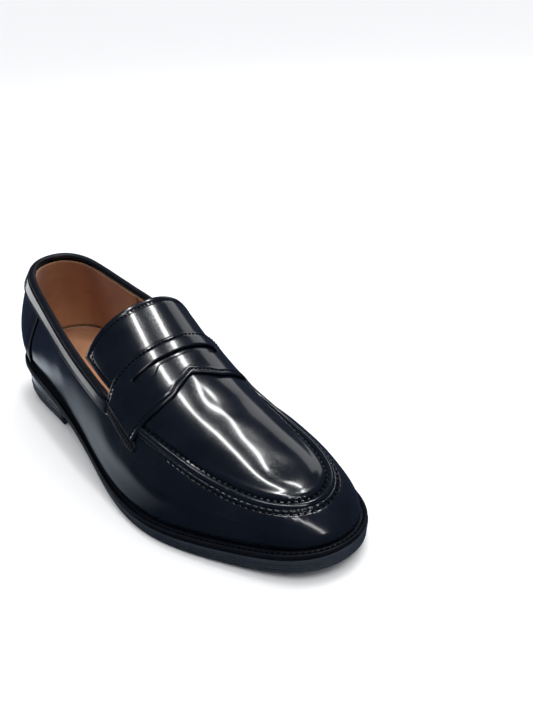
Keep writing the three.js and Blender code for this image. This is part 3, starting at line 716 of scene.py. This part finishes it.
def keepFront(piece, x, side):
    # takes a plate away behind x (side 1) or before it (side -1) and closes it there
    work = bmesh.new()
    work.from_mesh(piece.data)
    everything = work.verts[:] + work.edges[:] + work.faces[:]
    cut = bmesh.ops.bisect_plane(work, geom=everything, plane_co=(x, 0, 0), plane_no=(-side, 0, 0),
                                 clear_outer=True)
    rim = [e for e in cut["geom_cut"] if isinstance(e, bmesh.types.BMEdge)]
    bmesh.ops.edgeloop_fill(work, edges=rim)
    work.to_mesh(piece.data)
    work.free()


# upper

leather, gap = 1.4, 0.4
seamStart = 30.0           # where the apron seam comes out from under the saddle
girth = 700                # about the length round the collar line: a step of t times it is in millimetres


def wallHeight(t):
    # the straight line from feather to collar, and an eighth more for the bulge
    rim, foot = collar(t), outline(t, last["weltShow"], seatZ(lengthShare(t)))
    return np.linalg.norm(rim - foot, axis=-1) * 1.12


def topWidth(t):
    # the straight line from collar to ridge, and a twentieth more for the shoulder
    return np.linalg.norm(crown(t) - collar(t), axis=-1) * 1.05


def arcAlong(t, q):
    # running length along a line of the upper, in millimetres
    return runningLength(upper(t, q + 0 * t))


wallLook = {"columns": 620, "pucker": 0.2, "puckerPitch": 3.5, "puckerReach": 4.0, "crease": 0.25,
            "groove": 0.4, "grooveDown": 3.7, "bandGroove": 0.55, "bandFoot": 0.848,
            "stitch": dict(pitch=3.5, length=1.9, radius=0.5, rise=0.36, slant=-30)}


def makeWall():
    # even spacing along the collar line, found by inverting its running length
    fine = np.linspace(0.003, 0.997, 4000)
    run = arcAlong(fine, 1.0)
    even = np.interp(np.linspace(0, run[-1], wallLook["columns"]), run, fine)
    q = np.concatenate([[0.012, 0.0135, 0.016, 0.02], np.linspace(0.03, 0.8, 30), np.linspace(0.81, 0.97, 22),
                        [0.976, 0.981, 0.9845, 0.987]])

    def distance(around, climb):
        high = wallHeight(around)
        ends = np.minimum(around - 0.003, 0.997 - around) * girth
        return np.minimum(np.minimum((climb - 0.012) * high, (0.987 - climb) * high), ends)

    def lift(around, climb):
        # gathers, sines that die away below the seam, less the stitch groove and the band's own,
        # plus slow folds that are two sines times climb (1 - climb)
        place = np.interp(around, fine, run)
        down = (1 - climb) * wallHeight(around)
        ahead = ease(collar(around)[..., 0], 36, 48)
        wave = np.sin(2 * np.pi * place / wallLook["puckerPitch"])
        gather = wallLook["pucker"] * wave * np.exp(-(down / wallLook["puckerReach"]) ** 1.5) * ahead
        slow = np.sin(place / 7.3) * np.sin(place / 17 + climb * 5) * climb * (1 - climb) * 4
        groove = hump(down, wallLook["grooveDown"], 0.6, wallLook["groove"]) * ahead
        behind = ease(-collar(around)[..., 0], -14, -8)
        under = (wallLook["bandFoot"] - climb) * wallHeight(around)
        pressed = hump(under, 0.6, 0.8, wallLook["bandGroove"]) * behind
        return gather - groove - pressed + slow * wallLook["crease"] / 2

    piece = shellPiece("wall_leather", skin, even, q, distance, 0, leather, lift)
    settle(piece, "polished", "bend", "side_wall")
    return fine, run


liningLook = {"depth": 3.0, "thick": 1.0, "heelEnd": -69.0, "quarterEnd": 21.0, "seam": 0.0012}


def makeLinings():
    # plain shells under the leather: one round the heel, a quarter on each side, one over the vamp

    def lining(name, low, high, columns, finish, body, node, qs, ridge=False):
        t = np.linspace(low, high, columns)

        def distance(around, climb):
            tall = wallHeight(around)
            ends = np.minimum(around - low, high - around) * girth
            foot = (climb - qs[0]) * tall
            return np.minimum(ends, foot if ridge else np.minimum(foot, (qs[-1] - climb) * tall))

        piece = shellPiece(name, skin, t, qs, distance, liningLook["depth"], liningLook["thick"])
        settle(piece, finish, body, node)

    rise = np.concatenate([[0.055, 0.06, 0.07], np.linspace(0.1, 0.93, 20), [0.955, 0.965, 0.97]])
    heelEnd, quarterEnd = float(tAt(liningLook["heelEnd"])), float(tAt(liningLook["quarterEnd"]))
    seam = liningLook["seam"]
    lining("lining_heel", -heelEnd, heelEnd, 120, "heelTan", "rearpart", "heel_lining", rise)
    lining("lining_outer", heelEnd + seam, quarterEnd - seam, 80, "tan", "rearpart",
           "quarter_lining_outer", rise)
    lining("lining_inner", 1 - quarterEnd + seam, 1 - heelEnd - seam, 80, "tan", "rearpart",
           "quarter_lining_inner", rise)
    over = np.concatenate([[0.055, 0.06, 0.07], np.linspace(0.1, 2, 36)])
    lining("lining_vamp", quarterEnd + seam, 1 - quarterEnd - seam, 180, "tan", "bend",
           "vamp_lining", over, True)


apronLook = {"rear": 31.8, "columns": 520, "groove": 0.8, "grooveAt": 3.0, "bumps": 0.2, "pitch": 3.4,
             "creases": 0.24, "stitch": dict(pitch=3.4, length=2.2, radius=0.52, rise=0.42, slant=12)}


def makeApron():
    # the top of the upper from just inside the collar line to the ridge, on columns evenly spaced
    # along the seam
    start = float(tAt(apronLook["rear"]))
    fine = np.linspace(start, 1 - start, 3000)
    run = arcAlong(fine, 1.0)
    t = np.interp(np.linspace(0, run[-1], apronLook["columns"]), run, fine)
    # the same columns on both sides, so that they meet at the ridge
    t = np.concatenate([t[t < 0.5], [0.5], 1 - t[t < 0.5][::-1]])
    q = np.concatenate([[1.02, 1.022, 1.026, 1.032], np.linspace(1.04, 1.2, 12), np.linspace(1.22, 2, 32)])

    def distance(around, climb):
        ends = np.minimum(around - start, 1 - start - around) * girth
        return np.minimum((climb - 1.02) * topWidth(around), ends)

    def lift(around, climb):
        # a sewn channel beside the seam, an edge that swells between stitches, faint folds behind the toe
        inside = (climb - 1) * topWidth(around)
        place = np.interp(around, fine, run)
        channel = -hump(inside, apronLook["grooveAt"], 0.7, apronLook["groove"])
        swell = 0.5 - 0.5 * np.cos(2 * np.pi * place / apronLook["pitch"])
        plump = swell * hump(inside, apronLook["grooveAt"] + 0.95, 0.5, apronLook["bumps"])
        plump = plump + hump(inside, 5.6, 1.6, 0.25)
        x = top(around, climb - 1)[..., 0]
        folds = np.sin(x / 5.2 + 2 * np.sin(climb * 3)) * ease(climb, 1.1, 1.6) * ease(-x, -95, -60)
        return channel + plump + apronLook["creases"] * folds

    piece = shellPiece("apron_leather", skin, t, q, distance, 0, leather, lift)
    settle(piece, "polished", "bend", "apron")


ridgeLook = {"main": (0.45, 1.75, 1.7), "minor": (-2.0, 0.85, 0.85), "bury": 0.9}


def makeSeamRidge():
    # two rolls side by side, the main one over the seam and a thin lumpy one outside it:
    # each is height times root(1 - (offset / half width) squared)
    t = np.linspace(float(tAt(seamStart)), 1 - float(tAt(seamStart)), 900)
    points = upper(t, 1 + 0 * t)
    across, up = pathFrames(points, normalAt(t, 1.0))
    inward = np.sign(((crown(t) - points) * across).sum(-1))
    across = across * inward[:, None]
    run = runningLength(points)
    b = np.linspace(-3.0, 2.35, 27)
    roll = lambda mid, half, high: high * np.sqrt(np.maximum(0, 1 - ((b - mid) / half) ** 2))
    lumps = 0.82 + 0.18 * np.cos(2 * np.pi * run / wallLook["puckerPitch"])[:, None]
    waver = 1 + 0.04 * np.sin(run / 6.1)[:, None]
    over = np.maximum(roll(*ridgeLook["main"]) * waver, roll(*ridgeLook["minor"]) * lumps)
    over = np.maximum(over, 0.15) + 0.1
    foot = np.full((len(t), len(b) - 2), -ridgeLook["bury"])
    offset = np.broadcast_to(np.concatenate([b, b[::-1][1:-1]]), (len(t), 2 * len(b) - 2))
    piece = sweep("seam_ridge", points, across, up, np.stack([offset, np.concatenate([over, foot], 1)], -1))
    settle(piece, "polished", "bend", "apron_seam_ridge")
    inner = 1 + apronLook["grooveAt"] / topWidth(t)
    row = stitchRow("apron_stitches", skin(t, inner, 0.5), normalAt(t, inner), apronLook["stitch"])
    settle(row, "thread", "bend")
    outer = 1 - wallLook["grooveDown"] / wallHeight(t)
    row = stitchRow("wall_stitches", skin(t, outer, 0.25), normalAt(t, outer), wallLook["stitch"])
    settle(row, "thread", "bend")


saddleLook = {"rear": 12.0, "front": 44.0, "notch": 7.0, "lowRear": 0.985, "lowFront": 0.8,
              "slotX": 23.0, "slotWidth": 2.6, "lobe": 3.2, "slotReach": 0.56, "thick": 1.6, "skive": 0.6,
              "halfLength": 52, "lean": 0.93, "stitchRear": 1.9, "stitchFront": 2.4}


def saddleFront(c):
    # straight across with a V in the middle, drawn back towards its corners
    k = np.abs(c)
    vee = saddleLook["notch"] * np.maximum(0, 1 - k / 0.3)
    softVee = saddleLook["notch"] * (np.sqrt(np.maximum(0, 1 - k / 0.3) ** 2 + 0.0009) - 0.03)
    return saddleLook["front"] - np.minimum(vee, softVee) - 11 * np.maximum(0, k - 0.55)


def slotOpening(c):
    # how far the slot's front lip stands from its straight back lip
    k = np.abs(c) / saddleLook["slotReach"]
    ends = np.sqrt(np.clip(1 - k ** 10, 0, 1))
    return (saddleLook["slotWidth"] + saddleLook["lobe"] * ease(k, 0.42, 0.6)) * ends * (k < 1)


def acrossPlace(atX, aside, low):
    # the place (t, q) at x that lies the share aside of the way from the ridge down to q = low
    t = tAt(atX)
    return np.where(aside < 0, t, 1 - t), mix(2.0, low, np.abs(aside))


def saddleLow(x):
    # how low the strap reaches at x, in a straight line from its rear to its front corner
    share = (x - saddleLook["rear"]) / (saddleFront(1.0) - saddleLook["rear"])
    return mix(saddleLook["lowRear"], saddleLook["lowFront"], np.clip(share, 0, 1))


def makeSaddle():
    # a strap in two stretches, behind the slot and in front of it, that share one row at the slot's
    # ends; its thickness rounds off to nothing at the edges and at the slot
    look = saddleLook
    c = bothSides(55, 90)
    rim = look["thick"] / 2
    backRows = edged(0, 1, 12, 22, rim)
    frontRows = edged(0, 1, 20, 34, rim)
    backLip = look["slotX"] - look["slotWidth"] / 2
    backShare, backAcross = np.meshgrid(backRows, c, indexing="ij")
    frontShare, frontAcross = np.meshgrid(frontRows, c, indexing="ij")
    backX = mix(look["rear"], backLip, backShare)
    lip = backLip + slotOpening(frontAcross)
    frontX = mix(lip, saddleFront(frontAcross), frontShare)
    atX, aside = np.concatenate([backX, frontX]), np.concatenate([backAcross, frontAcross])
    beyond = np.maximum(0, np.abs(aside) - look["slotReach"]) * look["halfLength"]
    toSlot = np.where(atX <= backLip + 1e-6, np.hypot(backLip - atX, beyond),
                      np.hypot(np.maximum(0, atX - backLip - slotOpening(aside)), beyond))
    toFront = (saddleFront(aside) - atX) * look["lean"]
    toEdges = np.minimum(np.minimum(atX - look["rear"], toFront), (1 - np.abs(aside)) * look["halfLength"])
    half = roundedHalf(np.minimum(toEdges, toSlot), look["thick"])
    # a bead along the front edge with the stitch groove behind it, and a dip under the rear stitches
    bead = hump(toFront, 0.9, 0.75, 0.22) - hump(toFront, 2.3, 0.5, 0.3) + hump(toFront, 3.3, 0.7, 0.12)
    rearDip = hump(atX - look["rear"], look["stitchRear"], 0.7, 0.14)
    mid = -gap - look["thick"] / 2
    thinned = look["skive"] * (1 - ease(atX - look["rear"], 0, 4))
    t, q = acrossPlace(atX, aside, saddleLow(atX))
    outer = skin(t, q, mid - half * (1 - thinned) - (bead - rearDip) * (half > 0.2))
    inner = skin(t, q, mid + half)
    # the cells between the two stretches are left out where the slot is open
    quads = gridFaces(*atX.shape)
    keep = np.ones(len(quads), bool)
    atSlot = (len(backRows) - 1) * (len(c) - 1) + np.arange(len(c) - 1)
    keep[atSlot] = slotOpening((c[1:] + c[:-1]) / 2) <= 1e-6
    piece = makeMesh("saddle_leather", *twoSheets(outer, inner, quads[keep]))
    settle(piece, "polished", "rearpart", "saddle_strap")

    c = np.linspace(-0.97, 0.97, 500)
    for name, x, pitch, radius in (("front", saddleFront(c) - look["stitchFront"], 2.3, 0.3),
                                   ("rear", look["rear"] + look["stitchRear"] + 0 * c, 2.6, 0.36)):
        t, q = acrossPlace(x, c, saddleLow(x))
        stitch = dict(pitch=pitch, length=pitch * 0.7, radius=radius, rise=0.2)
        points = skin(t, q, -gap - look["thick"] + 0.12)
        settle(stitchRow("saddle_stitches_" + name, points, normalAt(t, q), stitch), "thread", "rearpart")


tongueLook = {"top": -14.0, "end": 31.0, "low": 1.10, "corner": -5.0, "length": 38, "halfWidth": 46,
              "stitchAside": 0.945, "stitchTop": 0.068, "stitchEnd": 0.62,
              "stitch": dict(pitch=2.5, length=1.9, radius=0.3, rise=0.2, slant=25)}


def makeTongue():
    # leather and lining, both shells whose upper edge drops as the cube of the share aside
    look = tongueLook
    c = bothSides(50, 60)
    a = edged(0, 1, 39, 44, 0.8)

    def topEdge(aside):
        return look["top"] + look["corner"] * np.abs(aside) ** 3

    def layer(name, depth, thick, finish, node, trim, detail):
        def point(around, aside, d):
            aside = aside * trim
            atX = mix(topEdge(aside) + (1 - trim) * 40, look["end"], around)
            return skin(*acrossPlace(atX, aside, look["low"]), d)

        def distance(around, aside):
            ends = np.minimum(around, 1 - around) * look["length"]
            return np.minimum(ends, (1 - np.abs(aside)) * look["halfWidth"])

        def lift(around, aside):
            e = distance(around, aside)
            return detail * (hump(e, 1.0, 0.8, 0.25) - hump(e, 2.6, 0.5, 0.35))

        settle(shellPiece(name, point, a, c, distance, depth, thick, lift), finish, "rearpart", node)

    layer("tongue_leather", 0, leather, "polished", "tongue", 1.0, 1.0)
    layer("tongue_back", leather + gap, 1.0, "tan", "tongue_lining", 0.97, 0.0)

    # up one side, across under the upper edge and down the other side, drawn in at the corners
    k = np.linspace(0, 1, 160)
    reach, high = look["stitchAside"], look["stitchTop"]
    sideRow = np.stack([mix(look["stitchEnd"], 0.07, k), 0 * k - reach], -1)
    backRow = np.stack([0 * k + high, mix(-reach, reach, k)], -1)
    route = np.concatenate([sideRow, backRow[1:], sideRow[::-1][1:] * [1, -1]])
    around, aside = route[:, 0], route[:, 1]
    aside = aside * (1 - hump(np.abs(aside), reach, 0.05, 0.05) * hump(around, high, 0.09))
    t, q = acrossPlace(mix(topEdge(aside), look["end"], around), aside, look["low"])
    row = stitchRow("tongue_stitches", skin(t, q, 0.1), normalAt(t, q), look["stitch"])
    settle(row, "thread", "rearpart")


sideSeamLook = {"halfWidth": 3.1, "height": 1.3, "below": 2.7, "pitch": 1.7, "knurl": 0.2}


def makeSaddleSeams():
    # a gathered strip along each end of the saddle, from the top line's corner to the front corner:
    # an oval whose size swells and pinches as a cosine along it
    look = sideSeamLook
    a = np.linspace(-0.1, 1.08, 240)
    x = mix(saddleLook["rear"], float(saddleFront(1.0)), a)
    for side, part in ((-1, "outer"), (1, "inner")):
        t = tAt(x) if side < 0 else 1 - tAt(x)
        qs = mix(saddleLook["lowRear"], saddleLook["lowFront"], a) - look["below"] / wallHeight(t)
        points = skin(t, qs, -0.5)
        across, up = pathFrames(points, normalAt(t, qs))
        run = runningLength(points)
        angle = np.linspace(0, 2 * np.pi, 24, endpoint=False)
        phase = run[:, None] / look["pitch"] + 0.35 * np.sin(angle) + 0.2 * np.sin(run[:, None] / 3.1)
        knurl = 1 + look["knurl"] * np.cos(2 * np.pi * phase) * (np.sin(angle) > -0.2)
        ends = np.sqrt(np.clip(1 - (2 * np.abs(a - 0.49) / 1.19) ** 8, 0.04, 1))[:, None]
        profile = np.stack([look["halfWidth"] * np.cos(angle) * ends,
                            look["height"] * np.sin(angle) * knurl * ends], -1)
        piece = sweep("seam_roll_" + part, points, across, up, profile)
        settle(piece, "binding", "rearpart", "saddle_seam_" + part)


foxingLook = {"low": 0.012, "high": 0.86, "reachLow": 24.0, "reachHigh": 44.0, "halfLength": 55, "tall": 78,
              "stitchInsets": (0.955, 0.92), "stitch": dict(pitch=2.3, length=1.7, radius=0.26, rise=0.14)}


def makeHeelFoxing():
    # a shell lapped over the wall, whose front edges lean forward in a straight line as they climb
    look = foxingLook
    frontAt = lambda climb: tAt(last["collarBack"] + mix(look["reachLow"], look["reachHigh"], climb))
    rows = np.concatenate([[0.012, 0.014, 0.018, 0.024], np.linspace(0.04, 0.82, 40),
                           [0.84, 0.85, 0.857, 0.86]])
    cols = edged(-1, 1, 110, 150, leather / 2)

    def point(around, climb, d):
        return skin(frontAt(climb) * around, climb, d)

    def distance(around, climb):
        ends = (1 - np.abs(around)) * look["halfLength"]
        return np.minimum(ends, np.minimum(climb - look["low"], look["high"] - climb) * look["tall"])

    piece = shellPiece("heel_leather", point, cols, rows, distance, -gap - leather + 0.3, leather)
    settle(piece, "polished", "rearpart", "heel_foxing")
    q = np.linspace(0.03, 0.85, 300)
    for side in (-1, 1):
        for number, inset in enumerate(look["stitchInsets"]):
            t = frontAt(q) * inset * -side
            name = "heel_stitches_%s_%d" % ("outer" if side < 0 else "inner", number + 1)
            settle(stitchRow(name, skin(t, q, -leather), normalAt(t, q), look["stitch"]), "thread", "rearpart")


bandLook = {"low": 0.852, "high": 0.985, "bulge": 1.7, "turnIn": 0.07, "end": 13.0, "groove": 0.35,
            "grooveUp": 1.9, "stitchDown": -1.4, "stitch": dict(pitch=2.3, length=1.7, radius=0.28, rise=0.14)}
bindingLook = {"halfWidth": 2.4, "halfHeight": 1.6, "rise": 0.5, "taperFrom": 2.0, "taperTo": 15.0,
               "end": 12.0, "line": 0.07, "lines": (0.35, 0.85, 1.35, 1.9, 2.5), "fill": 0.9}


def makeBand():
    # the band stands proudest just above its lower edge and leans in from there in a straight line
    look = bandLook
    throat = float(tAt(look["end"]))
    cols = edged(-throat, throat, 290, 340, leather / 2)
    rows = edged(look["low"], look["high"], 9, 18, leather / 2)

    def distance(around, climb):
        edges = np.minimum(climb - look["low"], look["high"] - climb) * wallHeight(around)
        return np.minimum(edges, (throat - np.abs(around)) * girth)

    def lift(around, climb):
        high = (climb - look["low"]) * wallHeight(around)
        share = np.clip((climb - look["low"]) / (look["high"] - look["low"]), 0, 1)
        proud = look["bulge"] * (1 - share) * (1 - np.exp(-share / look["turnIn"]))
        return proud - hump(high, look["grooveUp"], 0.4, look["groove"])

    piece = shellPiece("band_leather", skin, cols, rows, distance, -gap - leather + 0.25, leather, lift)
    settle(piece, "polished", "rearpart", "collar_band")
    t = np.linspace(-throat * 0.985, throat * 0.985, 900)
    for number, (above, depth) in enumerate(((look["grooveUp"], -leather - 0.35), (look["stitchDown"], 0.3))):
        qs = look["low"] + above / wallHeight(t)
        row = stitchRow("band_stitches_%d" % (number + 1), skin(t, qs, depth), normalAt(t, qs), look["stitch"])
        settle(row, "thread", "rearpart")


def makeBinding():
    # a padded binding that wraps every layer: a flat oval roll with fold lines, each a narrow hump
    # off its radius, that swells a little along the line as two sines and is slimmer at its ends
    look = bindingLook
    throat = float(tAt(look["end"]))
    t = np.linspace(-throat, throat, 460)
    points = skin(t, 1 + 0 * t, 1.2)
    along = unit(np.gradient(points, axis=0))
    across = unit(np.cross(vec(0 * t, 0 * t, 1), along))
    up = unit(np.cross(along, across))
    angle = np.linspace(0, 2 * np.pi, 32, endpoint=False)
    radius = 1 - look["line"] * sum(hump(angle, mid, 0.13) for mid in look["lines"])
    profile = np.stack([look["halfWidth"] * np.cos(angle) * radius,
                        look["halfHeight"] * np.sin(angle) * radius + look["rise"]], -1)
    run = runningLength(points)
    soft = 1 + 0.025 * np.sin(run / 4.1) * np.sin(run / 9.7 + 1)
    slim = soft * (1 - 0.6 * ease(points[:, 0], look["taperFrom"], look["taperTo"]))
    piece = sweep("binding_roll", points, across, up, profile[None] * slim[:, None, None])
    settle(piece, "binding", "rearpart", "topline_binding")


makeOutsole()
makeWelt()
makeHeel()
makeInside()
print("sole unit made")
makeWall()
makeLinings()
makeApron()
makeSeamRidge()
print("wall, apron and linings made")
makeSaddle()
makeTongue()
makeSaddleSeams()
makeHeelFoxing()
makeBand()
makeBinding()
print("saddle, tongue, heel and top line made")

hidden = {"board": ["heel_counter", "toe_puff"], "foam": ["collar_foam"],
          "steel": ["shank"] + ["heel_nail_%d" % (i + 1) for i in range(5)]}
for finish, names in hidden.items():
    for name in names:
        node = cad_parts[name]
        node.data.materials.clear()
        node.data.materials.append(materials[finish])

# floor, light and camera

studio = {
    # the patches and their near and far colours are painted reflection: colours the floor shows only to the
    # leather's gloss
    "floor": 0.9, "paintedReflectionPatches": (((-0.062, -0.106, 0), (0.01, 0.12)), ((-0.168, -0.022, 0), (0.02, 0.047))),
    "paintedReflectionNear": (0.52, 0.58, 0.64), "paintedReflectionFar": (0.015, 0.024, 0.045),
    "room": (0.05, 0.062, 0.085), "background": 1.0,
    "sky": {"energy": 3.3, "angle": 110, "tilt": (-12, -14, 0)},
    "lamps": {
        "ceiling_near": {"to": (-0.03, 0.15, 1.0), "far": 1.35, "size": (0.4, 0.075), "radiance": 36},
        "ceiling_far": {"to": (-0.02, 0.43, 0.91), "far": 1.35, "size": (0.34, 0.06), "radiance": 36},
        "toe_glow": {"to": (0.62, 0.02, 0.78), "far": 1.5, "size": (1.5, 0.14), "radiance": 9},
        "side": {"to": (-0.9, -0.42, 0.07), "far": 1.6, "size": (1.0, 0.3), "radiance": 2.6},
        "window": {"to": (-0.35, 0.78, 0.52), "far": 1.7, "size": (0.8, 0.6), "radiance": 1.3},
    },
}
floor = bpy.data.objects.new("floor", bpy.data.meshes.new("floor"))
floor.data.from_pydata([(-30, -30, 0), (30, -30, 0), (30, 30, 0), (-30, 30, 0)], [], [(0, 1, 2, 3)])
bpy.context.scene.collection.objects.link(floor)
paper, nodes, links, shader, place = newMaterial("floor_paper")
shader.inputs["Roughness"].default_value = 0.9
shader.inputs["Specular IOR Level"].default_value = 0.1
# the paper is plain white to the camera and to diffuse light, but glossy rays see a painted reflection:
# painted dark shade, with a lighter painted patch round each middle
paintedReflectionShare = None
for middle, fade in studio["paintedReflectionPatches"]:
    reach = nodes.new("ShaderNodeVectorMath")
    reach.operation = "DISTANCE"
    links.new(place, reach.inputs[0])
    reach.inputs[1].default_value = middle
    share = rangeOf(nodes, links, reach.outputs["Value"], 0, 1, *fade)
    if paintedReflectionShare:
        product = nodes.new("ShaderNodeMath")
        product.operation = "MULTIPLY"
        links.new(paintedReflectionShare, product.inputs[0])
        links.new(share, product.inputs[1])
        share = product.outputs[0]
    paintedReflectionShare = share
bounce, shade = nodes.new("ShaderNodeLightPath"), nodes.new("ShaderNodeMix")
shade.data_type = "RGBA"
shade.inputs[6].default_value = (studio["floor"], studio["floor"], studio["floor"], 1)
links.new(bounce.outputs["Is Glossy Ray"], shade.inputs[0])
links.new(colourMix(nodes, links, paintedReflectionShare, studio["paintedReflectionNear"], studio["paintedReflectionFar"]), shade.inputs[7])
links.new(shade.outputs[2], shader.inputs["Base Color"])
floor.data.materials.append(paper)

# a dim room that the leather reflects, behind a plain white background
world = bpy.data.worlds.new("studio")
world.use_nodes = True
nodes, links = world.node_tree.nodes, world.node_tree.links
nodes["Background"].inputs["Color"].default_value = (*studio["room"], 1)
white, choose, ray = (nodes.new("ShaderNode" + kind) for kind in ("Background", "MixShader", "LightPath"))
white.inputs["Strength"].default_value = studio["background"]
white.inputs["Color"].default_value = (1, 1, 1, 1)
links.new(ray.outputs["Is Camera Ray"], choose.inputs[0])
links.new(nodes["Background"].outputs[0], choose.inputs[1])
links.new(white.outputs[0], choose.inputs[2])
links.new(choose.outputs[0], nodes["World Output"].inputs["Surface"])
bpy.context.scene.world = world
bpy.context.scene.view_settings.view_transform = "Standard"


def lamp(name, kind):
    # a light of one kind and the object that holds it
    light = bpy.data.lights.new(name, kind)
    holder = bpy.data.objects.new(name, light)
    bpy.context.scene.collection.objects.link(holder)
    return holder, light


# the sky lights the floor and the lining but doesn't show in the gloss
sky, light = lamp("sky", "SUN")
light.energy, light.angle = studio["sky"]["energy"], math.radians(studio["sky"]["angle"])
sky.rotation_euler = [math.radians(turn) for turn in studio["sky"]["tilt"]]
sky.visible_glossy = False
for name, look in studio["lamps"].items():
    holder, light = lamp(name, "AREA")
    light.shape = "RECTANGLE"
    light.size, light.size_y = look["size"]
    light.energy = look["radiance"] * math.pi * look["size"][0] * look["size"][1]
    # the lamp faces the shoe, its first side as near to x as it can lie
    back = Vector(look["to"]).normalized()
    level = (Vector((1, 0, 0)) - back * back.x).normalized()
    turn = Matrix((level, back.cross(level), back)).transposed().to_4x4()
    holder.matrix_world = Matrix.Translation(back * look["far"]) @ turn

shot = {"azimuth": 38.55, "elevation": 27.64, "distance": 487.2, "target": (7.8, 76.1, 40.0), "roll": -3.49,
        "focal": 748.5, "longSide": 711}


def makeCamera():
    # looks at the target from its distance, back along azimuth and elevation, then rolls
    a, e, roll = (math.radians(shot[key]) for key in ("azimuth", "elevation", "roll"))
    back = Vector((math.cos(a) * math.cos(e), -math.sin(a) * math.cos(e), math.sin(e)))
    right = Vector((0, 0, 1)).cross(back).normalized()
    up = back.cross(right)
    tilted = right * math.cos(roll) + up * math.sin(roll)
    upright = back.cross(tilted)
    camera = bpy.data.objects.new("camera", bpy.data.cameras.new("camera"))
    camera.data.sensor_width = 36
    camera.data.lens = 36 * shot["focal"] / shot["longSide"]
    camera.data.clip_end = 100
    camera.rotation_mode = "QUATERNION"
    camera.rotation_quaternion = Matrix((tilted, upright, back)).transposed().to_quaternion()
    camera.location = (Vector(shot["target"]) + back * shot["distance"]) * toMetres
    bpy.context.scene.collection.objects.link(camera)
    bpy.context.scene.camera = camera


makeCamera()
print("studio ready")
